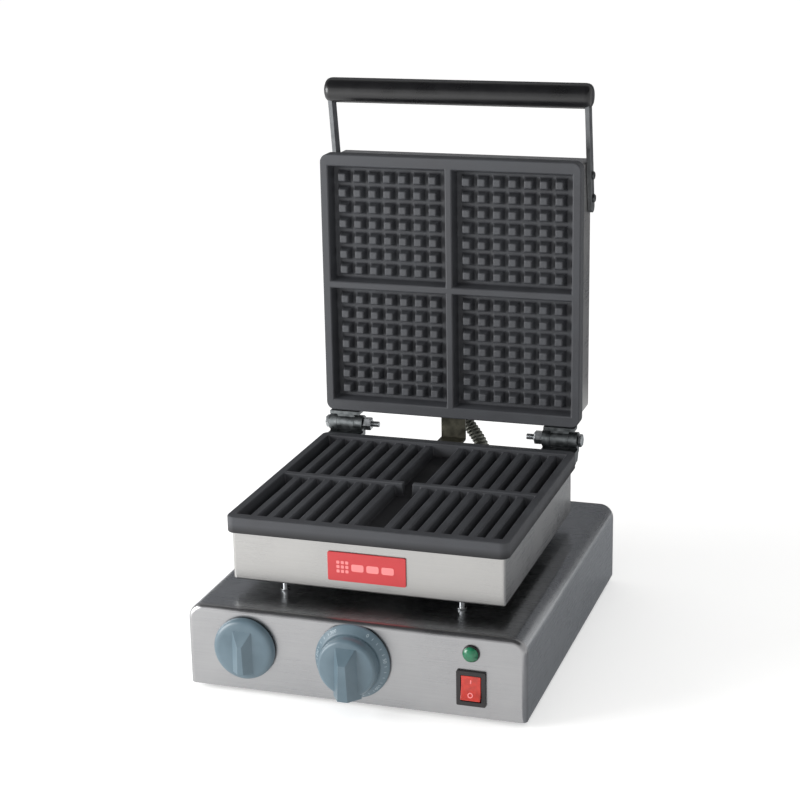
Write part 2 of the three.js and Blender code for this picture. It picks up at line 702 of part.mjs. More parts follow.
const badgeY = plateMiddle - housingDepth / 2 - GAP;
const badgeZ = housingFloor + HOUSING_HEIGHT * 0.5;
place(assembly, 'badge', alongY(rectangle(70, 26, 1.5), -1.2, 0), 'badge', [1, badgeY, badgeZ]);

// ---- hinges; x runs outwards on both sides, y and z are measured from the hinge axis ----
const lugs = [[90, 98], [116, 124]];

function profileAlongX(points, x0, x1) {
  const shape = new THREE.Shape();
  shape.setFromPoints(points.map(([y, z]) => new THREE.Vector2(y, z)));
  const body = extruded(shape, x1 - x0);
  const turn = new THREE.Matrix4().makeBasis(
    new THREE.Vector3(0, 1, 0), new THREE.Vector3(0, 0, 1), new THREE.Vector3(1, 0, 0),
  );
  return body.applyMatrix4(turn).translate(x0, 0, 0);
}

function alongX(radius, x0, x1, sides = 20) {
  return pointing(rod(radius, x0, x1, sides), '+x');
}

function span(side, [x0, x1]) {
  return side > 0 ? [x0, x1] : [-x1, -x0];
}

function lowerHinge(side) {
  const seat = -HINGE_BEHIND + GAP;
  const base = -HINGE_ABOVE - RIM_HEIGHT + 0.7;
  const [b0, b1] = span(side, [lugs[0][0], lugs[1][1]]);
  const block = box(b0, b1, seat, seat + 5, base, -13);
  const pieces = [block];
  for (const lug of lugs) {
    const [x0, x1] = span(side, lug);
    const r = HINGE_RADIUS;
    const arm = [[seat, -17], [seat, -13], [-6.4, -4.6], [0, 0], [r - 0.4, -2], [r - 1.5, -6], [-2, base + 1],
      [seat + 2, base + 1]];
    pieces.push(profileAlongX(arm.reverse(), x0, x1), alongX(r, x0, x1));
  }
  const [p0, p1] = span(side, [lugs[0][0] - 2, lugs[1][1] + 2]);
  return cut(join(...pieces), alongX(3.3, p0, p1, 14));
}

function hingeBolt(side) {
  const outer = lugs[1][1] + GAP;
  const tip = lugs[0][0] - 16;
  const shank = alongX(3, ...span(side, [tip, outer + 1]), 14);
  const head = pointing(hexagon(11, ...span(side, [outer, outer + 4])), '+x');
  return join(shank, head);
}

function hingeNut(side) {
  const inner = lugs[0][0] - GAP;
  const nut = pointing(hexagon(11.5, ...span(side, [inner - 8, inner])), '+x');
  return cut(nut, alongX(3.3, ...span(side, [inner - 10, inner + 2]), 14));
}

// The lid's knuckle, in the closed position: the lid's back edge is at y = -HINGE_BEHIND.
function upperHinge(side) {
  const [x0, x1] = span(side, [lugs[0][1] + GAP, lugs[1][0] - GAP]);
  const [f0, f1] = span(side, [lugs[0][1] - 6, lugs[1][0] + 6]);
  const seat = -HINGE_BEHIND + GAP;
  const barrel = alongX(HINGE_RADIUS, x0, x1);
  const web = box(x0, x1, seat + 1, -3, -4, 4);
  const flange = box(f0, f1, seat, seat + 3, lidFace + 1, lidFace + RIM_HEIGHT - 1);
  return cut(join(barrel, web, flange), alongX(3.3, x0 - 2, x1 + 2, 14));
}

const axis = [0, hingeY, hingeZ];
const sides = { left: -1, right: 1 };
for (const [name, side] of Object.entries(sides)) {
  place(assembly, `lower_hinge_${name}`, lowerHinge(side), 'darkSteel', axis);
  place(assembly, `hinge_bolt_${name}`, hingeBolt(side), 'steel', axis);
  place(assembly, `hinge_nut_${name}`, hingeNut(side), 'steel', axis);
}

function stopBracket() {
  const seat = -HINGE_BEHIND + GAP;
  const t = 2.5;
  const base = -HINGE_ABOVE - RIM_HEIGHT + 0.7;
  const top = HINGE_BEHIND - GAP;
  const outline = [[seat, base], [seat + t, base], [seat + t, -8 - t], [6, -8 - t], [6, top], [6 - t, top],
    [6 - t, -8], [seat, -8]];
  return profileAlongX(outline, -12, 12);
}

place(assembly, 'lid_stop_bracket', stopBracket(), 'bracket', axis);

// ---- lid, built closed about the hinge axis and stood up by the group's turn ----
const lid = new THREE.Group();
lid.name = 'lid';
lid.position.set(...axis);
lid.rotation.x = -Math.PI / 2;
assembly.add(lid);

const lidMiddle = -HINGE_BEHIND - PLATE_DEPTH / 2;
const housingFar = lidMiddle - housingDepth / 2;
const gripY = lidMiddle - PLATE_DEPTH / 2 - GRIP_REACH;
const gripZ = 27;
const lean = Math.tan((9.6 * Math.PI) / 180);
const armLine = (y) => gripZ + (y - gripY) * lean;
const screwYs = [housingFar + 14, housingFar + 36];
const armIn = housingWidth / 2 + GAP;
const armOut = armIn + ARM_THICKNESS;

const lidHoles = [];
for (const side of [-1, 1]) {
  for (const y of screwYs) {
    const reach = span(side, [housingWidth / 2 - 5, housingWidth / 2 + 5]);
    const hole = alongX(2.3, ...reach, 10);
    lidHoles.push(hole.translate(0, -(y - lidMiddle), -(armLine(y) - lidFace)));
  }
}
const wallHole = pointing(rod(8.3, housingDepth / 2 - 5, housingDepth / 2 + 5), '-y');
lidHoles.push(wallHole.translate(conduitHead.x, 0, -(conduitHead.z - lidFace)));
const upperUnit = bakingUnit('upper', -1, studPlate(), lidHoles);
upperUnit.position.set(0, lidMiddle, lidFace);
upperUnit.rotation.x = Math.PI;
lid.add(upperUnit);

function arm(side) {
  const start = screwYs[1] + ARM_TAIL;
  const end = gripY - 4;
  const half = ARM_WIDTH / 2;
  const tilt = Math.atan(lean);
  const length = (start - end) / Math.cos(tilt);
  const plate = extruded(rectangle(length, ARM_WIDTH, [1.5, half - 0.5, half - 0.5, 1.5], 4), ARM_THICKNESS);
  // The strip's length runs along -Y and its width along Z.
  const turn = new THREE.Matrix4().makeBasis(
    new THREE.Vector3(0, 1, 0), new THREE.Vector3(0, 0, 1), new THREE.Vector3(1, 0, 0),
  );
  plate.applyMatrix4(turn).rotateX(tilt);
  const middleY = (start + end) / 2;
  plate.translate(side > 0 ? armIn : -armOut, middleY, armLine(middleY));
  const holes = screwYs.map((y) => {
    const hole = alongX(2.3, ...span(side, [armIn - 2, armOut + 2]), 10);
    return hole.translate(0, y, armLine(y));
  });
  return cut(plate, ...holes);
}

function armScrew(side) {
  const head = pointing(turned([[0, 0], [4, 0], [3.6, 1.4], [2, 2.2], [0, 2.4]], 12), side > 0 ? '+x' : '-x');
  head.translate(side * (armOut + GAP), 0, 0);
  const shank = alongX(2, ...span(side, [armIn - 7, armOut + GAP + 0.5]), 10);
  return join(head, shank);
}

function grip() {
  const half = GRIP_LENGTH / 2;
  const r = GRIP_RADIUS;
  const profile = [[0, -half], [r - 6, -half], [r - 2.4, -half + 1.1], [r - 0.6, -half + 3.4], [r, -half + 6.5],
    [r, half - 6.5], [r - 0.6, half - 3.4], [r - 2.4, half - 1.1], [r - 6, half], [0, half]];
  const bar = pointing(turned(profile, 24), '+x');
  const slots = [-1, 1].map((side) => {
    const [x0, x1] = span(side, [armIn - FIT, armOut + FIT]);
    const slot = box(x0, x1, -4.6, r + 4, -ARM_WIDTH / 2 - FIT, ARM_WIDTH / 2 + FIT);
    return slot.rotateX(Math.atan(lean));
  });
  return cut(bar, ...slots);
}

for (const [name, side] of Object.entries(sides)) {
  place(lid, `upper_hinge_${name}`, upperHinge(side), 'darkSteel');
  place(lid, `handle_arm_${name}`, arm(side), 'darkSteel');
  place(lid, `arm_screw_${name}_low`, armScrew(side), 'steel', [0, screwYs[1], armLine(screwYs[1])]);
  place(lid, `arm_screw_${name}_high`, armScrew(side), 'steel', [0, screwYs[0], armLine(screwYs[0])]);
}
place(lid, 'handle_grip', grip(), 'bakelite', [0, gripY, gripZ]);

// ---- conduit that carries the lid's wires ----
function conduitFitting() {
  const hex = hexagon(21, GAP, 9);
  const thread = rod(8, -7, 1, 14);
  return cut(join(hex, thread), rod(conduitRadius + 2 * FIT, -9, 12, 14));
}

const headY = hingeY + conduitHead.z;
const headZ = hingeZ + HINGE_BEHIND + HOUSING_INSET_Y;
const wallY = -HINGE_BEHIND - HOUSING_INSET_Y;
place(assembly, 'conduit_lower_fitting', conduitFitting(), 'darkSteel',
  [conduitFoot.x, conduitFoot.y, baseTop]);
place(lid, 'conduit_upper_fitting', conduitFitting(), 'darkSteel',
  [conduitHead.x, wallY, conduitHead.z], [-Math.PI / 2, 0, 0]);

function conduit() {
  const { x, y } = conduitFoot;
  const knots = [
    [conduitHead.x, headY, headZ + 5],
    [conduitHead.x, headY, headZ - 2],
    [conduitHead.x, headY, headZ - 10],
    [conduitHead.x + 8, headY - 1, headZ - 20],
    [x - 7, (headY + y) / 2, headZ - 33],
    [x - 0.5, y + 1, headZ - 50],
    [x, y, (headZ + baseTop) / 2 - 10],
    [x, y, baseTop + 10],
    [x, y, baseTop - 5],
  ];
  const curve = new THREE.CatmullRomCurve3(knots.map((k) => new THREE.Vector3(...k)), false, 'centripetal');
  return tube(curve.getSpacedPoints(20), conduitRadius, 10);
}

place(assembly, 'conduit', conduit(), 'darkSteel');

export default assembly;
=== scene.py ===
import json
import math

import bmesh
import bpy
from mathutils import Matrix, Vector


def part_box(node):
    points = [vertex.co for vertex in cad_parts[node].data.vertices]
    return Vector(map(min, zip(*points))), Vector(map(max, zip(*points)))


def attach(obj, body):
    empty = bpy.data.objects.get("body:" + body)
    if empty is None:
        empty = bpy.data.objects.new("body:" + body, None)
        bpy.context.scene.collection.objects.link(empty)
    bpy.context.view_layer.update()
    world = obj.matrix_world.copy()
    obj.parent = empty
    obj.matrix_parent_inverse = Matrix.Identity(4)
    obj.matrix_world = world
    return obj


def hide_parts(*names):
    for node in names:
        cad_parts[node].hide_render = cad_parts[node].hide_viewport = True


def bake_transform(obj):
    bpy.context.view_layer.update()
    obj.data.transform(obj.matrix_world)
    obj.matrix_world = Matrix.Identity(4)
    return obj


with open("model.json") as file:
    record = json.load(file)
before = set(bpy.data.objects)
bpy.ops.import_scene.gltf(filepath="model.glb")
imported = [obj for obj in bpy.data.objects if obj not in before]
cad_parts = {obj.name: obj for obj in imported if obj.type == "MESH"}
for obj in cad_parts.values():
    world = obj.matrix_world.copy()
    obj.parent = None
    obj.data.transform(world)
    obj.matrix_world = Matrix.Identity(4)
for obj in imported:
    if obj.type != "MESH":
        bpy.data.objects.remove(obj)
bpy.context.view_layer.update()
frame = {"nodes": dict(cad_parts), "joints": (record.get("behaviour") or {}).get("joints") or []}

# Lengths in this script are millimetres; MM turns them into Blender's metres.
MM = 0.001

# Turns that point a piece drawn along +Z at one side of the object.
FACE_UP = (0, 0, 0)
FACE_DOWN = (math.pi, 0, 0)
FACE_FRONT = (math.pi / 2, 0, 0)
FACE_BACK = (-math.pi / 2, 0, 0)
FACE_RIGHT = (0, math.pi / 2, 0)
FACE_LEFT = (0, -math.pi / 2, 0)

# A direction counts as square to an axis when more than this share of it lies along that axis.
SQUARE = 0.9
# A bend smoother than this many degrees is shaded as one surface.
SMOOTH_ANGLE = 30

CORNER_NAMES = ("front_left", "front_right", "rear_left", "rear_right")


# ---------------------------------------------------------------- where the frame's pieces are
def corners(node):
    """A node's lowest and highest corners."""
    low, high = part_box(node)
    return Vector(low) / MM, Vector(high) / MM


def middle(node):
    """The middle of a node's box."""
    low, high = corners(node)
    return (low + high) / 2


def joint_at(name):
    """The point that a joint turns about."""
    found = [joint for joint in frame["joints"] if joint["name"] == name][0]
    return Vector(found["pos_m"]) / MM


# ---------------------------------------------------------------- modelling by hand
def choose(piece):
    """Makes one piece the only selected and active one."""
    if bpy.context.mode != "OBJECT":
        bpy.ops.object.mode_set(mode="OBJECT")
    bpy.ops.object.select_all(action="DESELECT")
    if piece:
        piece.select_set(True)
        bpy.context.view_layer.objects.active = piece


def edit(piece):
    """Opens one piece in edit mode."""
    choose(piece)
    bpy.ops.object.mode_set(mode="EDIT")


def settle(piece):
    """Puts the piece's place, turn and size into its mesh."""
    choose(piece)
    bpy.ops.object.transform_apply(location=True, rotation=True, scale=True)
    return piece


def put(piece, turn, place):
    """Turns a finished piece about its own origin and carries it to its place."""
    choose(piece)
    piece.rotation_euler = turn
    piece.location = Vector(place) * MM
    return settle(piece)


def block(low, high):
    """A box between two corners."""
    low, high = Vector(low), Vector(high)
    choose(None)
    bpy.ops.mesh.primitive_cube_add(size=1, location=(low + high) / 2 * MM)
    piece = bpy.context.object
    piece.scale = (high - low) * MM
    return settle(piece)


def draw_out(y=0.0, z=0.0):
    """Extrudes the selected faces straight, along Y or Z."""
    bpy.ops.mesh.extrude_region_move(TRANSFORM_OT_translate={"value": (0, y * MM, z * MM)})


def turned(profile, sides=48):
    """A piece turned about Z.

    A disc is drawn out and widened step by step through [radius, height] pairs.
    """
    radius, height = profile[0]
    choose(None)
    bpy.ops.mesh.primitive_circle_add(vertices=sides, radius=radius * MM, fill_type="NGON",
                                      location=(0, 0, height * MM))
    piece = settle(bpy.context.object)
    edit(piece)
    bpy.ops.mesh.select_all(action="SELECT")
    for wide, high in profile[1:]:
        draw_out(z=high - height)
        share = wide / radius
        bpy.ops.transform.resize(value=(share, share, 1), center_override=(0, 0, high * MM))
        radius, height = wide, high
    bpy.ops.mesh.select_all(action="SELECT")
    bpy.ops.mesh.normals_make_consistent(inside=False)
    choose(piece)
    return piece


def rod(radius, low, high, sides=32):
    """A plain round bar along Z."""
    return turned([[radius, low], [radius, high]], sides)


def drill(radius, turn, place, reach=4, sides=32):
    """A cutter for a round hole, which reaches both ways from its place in the sheet."""
    return put(rod(radius, -reach, reach, sides), turn, place)


def pick(piece, kind, test):
    """In edit mode, selects the faces or edges whose middle and direction pass the test."""
    bpy.ops.mesh.select_mode(type=kind)
    bpy.ops.mesh.select_all(action="DESELECT")
    mesh = bmesh.from_edit_mesh(piece.data)
    if kind == "FACE":
        for face in mesh.faces:
            face.select_set(test(face.calc_center_median() / MM, face.normal))
    else:
        for edge in mesh.edges:
            a, b = (vert.co / MM for vert in edge.verts)
            edge.select_set(test((a + b) / 2, (b - a).normalized()))
    bmesh.update_edit_mesh(piece.data)


def slice_faces(piece, axis, places, test):
    """Cuts the faces that pass the test along planes square to an axis."""
    normal = [0, 0, 0]
    normal[axis] = 1
    for place in places:
        pick(piece, "FACE", test)
        point = [0, 0, 0]
        point[axis] = place * MM
        bpy.ops.mesh.bisect(plane_co=point, plane_no=normal)


def apply(piece, modifier):
    """Works a modifier into the mesh."""
    choose(piece)
    bpy.ops.object.modifier_apply(modifier=modifier.name)


def ease(piece, width, steps=2, angle=SMOOTH_ANGLE):
    """Rounds every edge sharper than an angle."""
    choose(piece)
    bpy.ops.object.shade_smooth_by_angle(angle=math.radians(angle))
    rounding = piece.modifiers.new("rounding", "BEVEL")
    rounding.width = width * MM
    rounding.segments = steps
    rounding.limit_method = "ANGLE"
    rounding.angle_limit = math.radians(angle)
    rounding.harden_normals = True
    apply(piece, rounding)
    return piece


def combine(piece, other, how):
    """Welds another piece on, or cuts it away, and keeps one clean skin."""
    change = piece.modifiers.new(how, "BOOLEAN")
    change.operation = how
    change.solver = "EXACT"
    change.object = other
    apply(piece, change)
    bpy.data.objects.remove(other)
    return piece


def weld(piece, *others):
    """Joins other solids to a piece, one after another."""
    for other in others:
        combine(piece, other, "UNION")
    return piece


def cut(piece, *tools):
    """Cuts other solids out of a piece, one after another."""
    for tool in tools:
        combine(piece, tool, "DIFFERENCE")
    return piece


def wall(piece, thickness):
    """Gives an open shell its sheet thickness, inwards."""
    sheet = piece.modifiers.new("sheet", "SOLIDIFY")
    sheet.thickness = thickness * MM
    sheet.offset = -1
    sheet.use_even_offset = True
    apply(piece, sheet)
    return piece


def copied(piece):
    """A copy with a mesh of its own."""
    twin = piece.copy()
    twin.data = piece.data.copy()
    bpy.context.scene.collection.objects.link(twin)
    return twin


def mirrored(piece):
    """A copy on the other side of the middle."""
    twin = copied(piece)
    twin.scale = (-1, 1, 1)
    settle(twin)
    edit(twin)
    bpy.ops.mesh.select_all(action="SELECT")
    bpy.ops.mesh.normals_make_consistent(inside=False)
    choose(twin)
    return twin


def gathered(pieces):
    """Several loose solids in one piece."""
    choose(pieces[0])
    for piece in pieces:
        piece.select_set(True)
    bpy.ops.object.join()
    return bpy.context.object


def finish(piece, name, surface_finish, body, nodes=(), smooth=True):
    """Names a finished piece, gives it its material and hangs it on its body.

    A piece that ease has rounded last keeps that shading, so it comes with smooth=False.
    """
    choose(piece)
    if smooth:
        bpy.ops.object.shade_smooth_by_angle(angle=math.radians(SMOOTH_ANGLE))
    # Large flats keep their own normals, so that a bend beside one doesn't shade it.
    flats = piece.modifiers.new("even flats", "WEIGHTED_NORMAL")
    flats.keep_sharp = True
    apply(piece, flats)
    piece.name = name
    piece.data.name = name
    piece.data.materials.clear()
    piece.data.materials.append(surface_finish)
    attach(piece, body)
    if nodes:
        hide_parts(*nodes)
    return piece


# ---------------------------------------------------------------- materials
def ink(code):
    """An sRGB hex colour as linear red, green, blue and alpha."""
    def linear(value):
        return value / 12.92 if value <= 0.04045 else ((value + 0.055) / 1.055) ** 2.4
    channels = [int(code[i:i + 2], 16) / 255 for i in (1, 3, 5)]
    return (*[linear(value) for value in channels], 1)


def add(tree, kind, inputs=None, **settings):
    """Adds a node; inputs gives each socket a value or the output that feeds it."""
    node = tree.nodes.new(kind)
    for name, value in settings.items():
        setattr(node, name, value)
    for name, value in (inputs or {}).items():
        socket = node.inputs[name]
        if isinstance(value, bpy.types.NodeSocket):
            tree.links.new(value, socket)
        else:
            socket.default_value = value
    return node


def new_material(name):
    """A material with one shader and its output, ready for nodes."""
    material = bpy.data.materials.new(name)
    material.use_nodes = True
    tree = material.node_tree
    tree.nodes.clear()
    surface = add(tree, "ShaderNodeBsdfPrincipled")
    output = add(tree, "ShaderNodeOutputMaterial")
    tree.links.new(surface.outputs["BSDF"], output.inputs["Surface"])
    return material, tree, surface


def set_surface(tree, surface, values):
    """Sets the shader's sockets, each to a value or to the output that feeds it."""
    for name, value in values.items():
        if isinstance(value, bpy.types.NodeSocket):
            tree.links.new(value, surface.inputs[name])
        else:
            surface.inputs[name].default_value = value


def spread(tree, factor, stops):
    """A colour ramp through [place, hex colour] stops."""
    ramp = add(tree, "ShaderNodeValToRGB", {"Fac": factor})
    points = ramp.color_ramp.elements
    while len(points) < len(stops):
        points.new(0.5)
    for point, (place, code) in zip(points, stops):
        point.position = place
        point.color = ink(code)
    return ramp.outputs["Color"]


def scaled(tree, factor, low, high, start=0.0, end=1.0):
    """Stretches a 0 to 1 pattern to run between two values."""
    ranged = add(tree, "ShaderNodeMapRange", {"Value": factor, "From Min": start, "From Max": end,
                                              "To Min": low, "To Max": high})
    return ranged.outputs["Result"]


def noise(tree, vector, size, detail=3, rough=0.5):
    """Noise whose patches are about size millimetres across."""
    pattern = add(tree, "ShaderNodeTexNoise", {"Vector": vector, "Scale": 1 / (size * MM),
                                               "Detail": detail, "Roughness": rough})
    return pattern.outputs["Fac"]


def relief(tree, height, depth, strength=1.0, under=None):
    """A bump whose hills stand depth millimetres high."""
    inputs = {"Height": height, "Distance": depth * MM, "Strength": strength}
    if under:
        inputs["Normal"] = under
    return add(tree, "ShaderNodeBump", inputs).outputs["Normal"]


def stretched(tree, point, along, ratio):
    """The point with one axis squeezed, so that noise on it turns into lines along that axis."""
    scale = [1, 1, 1]
    scale[along] = 1 / ratio
    squeezed = add(tree, "ShaderNodeVectorMath", {0: point, 1: scale}, operation="MULTIPLY")
    return squeezed.outputs["Vector"]


def blended(tree, share, first, second):
    """A value between two, by a share."""
    mix = add(tree, "ShaderNodeMix", {0: share}, data_type="FLOAT")
    tree.links.new(first, mix.inputs[2])
    tree.links.new(second, mix.inputs[3])
    return mix.outputs[0]


def tinted(tree, share, first, second):
    """A colour between two, by a share."""
    mix = add(tree, "ShaderNodeMix", {0: share}, data_type="RGBA")
    for socket, value in ((mix.inputs[6], first), (mix.inputs[7], second)):
        if isinstance(value, bpy.types.NodeSocket):
            tree.links.new(value, socket)
        else:
            socket.default_value = value
    return mix.outputs[2]


# Real brush lines are about 0.05 mm apart; these are 0.35 mm, so that they show at all.
BRUSH_LINE = 0.35
BRUSH_LENGTH = 120
SMEAR = 55


def brushed_stainless(name, light, dark, roughness):
    """304 stainless sheet with a directional brushed finish.

    The belt leaves fine parallel lines, which stretch highlights into soft bands across them;
    handling leaves broad, faint smears where the sheet is a little duller.
    """
    material, tree, surface = new_material(name)
    place = add(tree, "ShaderNodeTexCoord")
    point = place.outputs["Object"]
    facing = add(tree, "ShaderNodeSeparateXYZ", {"Vector": place.outputs["Normal"]})
    sideways = add(tree, "ShaderNodeMath", {0: facing.outputs["X"]}, operation="ABSOLUTE")
    is_side = scaled(tree, sideways.outputs["Value"], 0, 1, 0.6, 0.8)
    across_front = noise(tree, stretched(tree, point, 0, BRUSH_LENGTH), BRUSH_LINE, 2, 0.6)
    across_side = noise(tree, stretched(tree, point, 1, BRUSH_LENGTH), BRUSH_LINE, 2, 0.6)
    lines = blended(tree, is_side, across_front, across_side)
    smears = noise(tree, point, SMEAR, 4, 0.55)
    both = add(tree, "ShaderNodeMath", {0: lines, 1: smears}, operation="ADD")
    mottle = both.outputs["Value"]
    set_surface(tree, surface, {
        "Base Color": spread(tree, scaled(tree, mottle, 0, 1, 0.7, 1.3),
                             [[0.0, dark], [1.0, light]]),
        "Metallic": 1.0,
        "Roughness": scaled(tree, mottle, roughness - 0.06, roughness + 0.08, 0.7, 1.3),
        "Normal": relief(tree, lines, 0.004, 0.2),
    })
    return material


# The skin that the moulding sand leaves: grit, and the pebbles that it gathers into.
SAND_GRIT = 0.9
SAND_PEBBLE = 1.6
OIL_PATCH = 30
# Painted shade in the lower casting's channels fades in over this many millimetres.
CHANNEL_SHADE_FADE = 6


def cast_iron(name, shade_level=None):
    """Seasoned grey cast iron from a sand mould.

    The sand leaves a fine pebbled skin, and baked-on oil gives a dark satin coat that has worn
    a little paler on the proud edges. When a level is given, painted shade darkens everything
    below it, standing in for the shade in the channels.
    """
    material, tree, surface = new_material(name)
    point = add(tree, "ShaderNodeTexCoord").outputs["Object"]
    grain = noise(tree, point, SAND_GRIT, 3, 0.6)
    cells = add(tree, "ShaderNodeTexVoronoi", {"Vector": point, "Scale": 1 / (SAND_PEBBLE * MM)})
    patches = noise(tree, point, OIL_PATCH, 3, 0.5)
    edges = add(tree, "ShaderNodeNewGeometry").outputs["Pointiness"]
    worn = scaled(tree, edges, 0, 0.25, 0.52, 0.58)
    oiled = spread(tree, patches, [[0.3, "#35363a"], [0.7, "#3d3f43"]])
    colour = tinted(tree, worn, oiled, ink("#54565a"))
    # Painted shade: below the level the colour fades to near black, standing in for the shade in
    # the channels.
    if shade_level:
        height = add(tree, "ShaderNodeSeparateXYZ", {"Vector": point}).outputs["Z"]
        painted_shade = scaled(tree, height, 1, 0, shade_level * MM, (shade_level + CHANNEL_SHADE_FADE) * MM)
        colour = tinted(tree, painted_shade, colour, ink("#1a1a1d"))
    fine = relief(tree, grain, 0.05, 0.35)
    set_surface(tree, surface, {
        "Base Color": colour,
        "Roughness": scaled(tree, patches, 0.55, 0.7, 0.3, 0.7),
        "Normal": relief(tree, cells.outputs["Distance"], 0.06, 0.3, fine),
    })
    return material


def moulded(name, pale, deep, roughness, grit, depth, coat=0.0):
    """Moulded thermoset or thermoplastic with a spark-eroded skin.

    The mould's fine texture, grit millimetres across, scatters highlights, and the colour
    drifts very slightly where the resin flowed.
    """
    material, tree, surface = new_material(name)
    point = add(tree, "ShaderNodeTexCoord").outputs["Object"]
    flow = noise(tree, point, 22, 3, 0.5)
    texture = noise(tree, point, grit, 2, 0.5)
    set_surface(tree, surface, {
        "Base Color": spread(tree, flow, [[0.3, deep], [0.7, pale]]),
        "Roughness": scaled(tree, flow, roughness - 0.05, roughness + 0.05, 0.3, 0.7),
        "Normal": relief(tree, texture, depth, 0.4),
        "IOR": 1.5,
        "Coat Weight": coat,
        "Coat Roughness": 0.2,
    })
    return material


def plated(name, pale, deep, roughness, patch=6.0):
    """Steel with a thin plated skin.

    The plating is even, with cloudy dull patches from handling, patch millimetres across, and
    fine scratches that run up and down.
    """
    material, tree, surface = new_material(name)
    point = add(tree, "ShaderNodeTexCoord").outputs["Object"]
    cloud = noise(tree, point, patch, 4, 0.6)
    scratches = noise(tree, stretched(tree, point, 2, 14), 0.5, 2, 0.5)
    set_surface(tree, surface, {
        "Base Color": spread(tree, cloud, [[0.3, deep], [0.7, pale]]),
        "Metallic": 1.0,
        "Roughness": scaled(tree, cloud, roughness - 0.07, roughness + 0.1, 0.3, 0.7),
        "Normal": relief(tree, scratches, 0.02, 0.3),
    })
    return material


def lens(name, pale, deep, glow):
    """Tinted polycarbonate, moulded glossy.

    Light sinks a few millimetres in, so that it looks deep, and glow is the strength of an even
    emission in its pale colour.
    """
    material, tree, surface = new_material(name)
    point = add(tree, "ShaderNodeTexCoord").outputs["Object"]
    cloud = noise(tree, point, 5, 2, 0.5)
    set_surface(tree, surface, {
        "Base Color": spread(tree, cloud, [[0.3, deep], [0.7, pale]]),
        "Roughness": 0.22,
        "IOR": 1.58,
        "Subsurface Weight": 0.25,
        "Subsurface Radius": (0.004, 0.004, 0.004),
        "Emission Color": ink(pale),
        "Emission Strength": glow,
        "Normal": relief(tree, noise(tree, point, 0.8, 2, 0.5), 0.01, 0.2),
    })
    return material


def fibre_board():
    """Pressed mineral wool: pale, matt and felted, with fibres lying every way."""
    material, tree, surface = new_material("pressed_mineral_wool")
    point = add(tree, "ShaderNodeTexCoord").outputs["Object"]
    felt = noise(tree, point, 1.5, 5, 0.7)
    set_surface(tree, surface, {
        "Base Color": spread(tree, felt, [[0.3, "#b7ae93"], [0.7, "#ddd6c0"]]),
        "Roughness": 0.95,
        "Normal": relief(tree, felt, 0.4, 0.6),
    })
    return material


# Folded 304 sheet: pale and satin on the housings, a little greyer on the control panel, and a
# little glossier on the wrap.
STAINLESS = brushed_stainless("brushed_304_stainless", "#b3b2b0", "#a8a7a6", 0.3)
FASCIA_STEEL = brushed_stainless("brushed_304_fascia", "#a7a7a8", "#9c9c9e", 0.3)
WRAP_STEEL = brushed_stainless("brushed_304_wrap", "#b2b4b6", "#a5a7aa", 0.27)
# The lid's casting has no painted shade; the lower one is painted darker between its bars, as
# shade, from this depth below its top down.
CHANNEL_SHADE_DEPTH = 12.5
LID_IRON = cast_iron("seasoned_cast_iron")
LOWER_IRON = cast_iron("cast_iron_painted_channel_shade", corners("lower_plate")[1].z - CHANNEL_SHADE_DEPTH)
# Phenolic takes a deep black satin, with a faint polish from hands.
BAKELITE = moulded("satin_phenolic", "#151517", "#0e0e10", 0.3, 0.8, 0.012, coat=0.1)
# Slate nylon is soft blue-grey and half matt; black nylon is flatter.
KNOB = moulded("slate_nylon", "#5f717b", "#52646e", 0.36, 0.5, 0.02)
NYLON = moulded("black_nylon", "#201c1e", "#171415", 0.45, 0.5, 0.02)
# Rubber is matt and charcoal.
RUBBER = moulded("black_rubber", "#2a2a2a", "#1f1f1f", 0.85, 0.7, 0.04)
# Steatite is cream, under a clear glaze.
CERAMIC = moulded("glazed_steatite", "#e9e4d8", "#dcd5c5", 0.3, 1.5, 0.02, coat=0.3)
# Screen-printed enamel has a thin even gloss; pad-printed inks are flat.
PRINT_RED = moulded("printed_red_enamel", "#c23438", "#b92e32", 0.38, 0.9, 0.01, coat=0.2)
PRINT_PALE = moulded("printed_pink_ink", "#ee8c8c", "#e88484", 0.5, 0.9, 0.01)
PRINT_GREY = moulded("printed_grey_ink", "#a9b6bd", "#9fadb5", 0.5, 0.9, 0.01)
# Zinc is dull on the hinges and bright on their bolts; the arms' screws are blackened.
HINGE_STEEL = plated("dull_zinc_steel", "#85898a", "#5d6163", 0.42)
BOLT_STEEL = plated("bright_zinc_steel", "#bfc2c4", "#94989a", 0.3)
ARM_BOLT_STEEL = plated("blackened_screw_steel", "#5a5c5e", "#404244", 0.4)
# Bare rod is nearly a mirror; the strips are grey, and the one by the heat has turned brown.
POST_STEEL = plated("polished_stainless_rod", "#cfd0d1", "#b2b4b6", 0.22)
ARM_STEEL = plated("grey_zinc_strip", "#7c7e80", "#636567", 0.4, 14.0)
BRACKET_STEEL = plated("heat_tinted_stainless", "#6a685c", "#4d4c44", 0.42, 10.0)
# Galvanised strip has a warm grey spangle, and a heater's sheath a brown bloom of oxide.
CONDUIT_STEEL = plated("galvanised_strip", "#85867f", "#66675f", 0.42, 5.0)
SHEATH = plated("oxidised_heater_sheath", "#6a5f55", "#4c443d", 0.55, 8.0)
WOOL = fibre_board()
# Polycarbonate: the red paddle has a faint painted glow, an even emission in its own red, and the
# green lamp is off.
GREEN = lens("green_polycarbonate", "#1b7450", "#145a3d", 0.0)
RED = lens("red_polycarbonate", "#bf3023", "#a1261b", 0.04)


# ---------------------------------------------------------------- base box
SHEET = 1.5
# The wrap: the bend along each side, the flange under it, and the seam behind the front panel.
EDGE_RADIUS = 13
FLANGE = 15
SEAM = 0.25
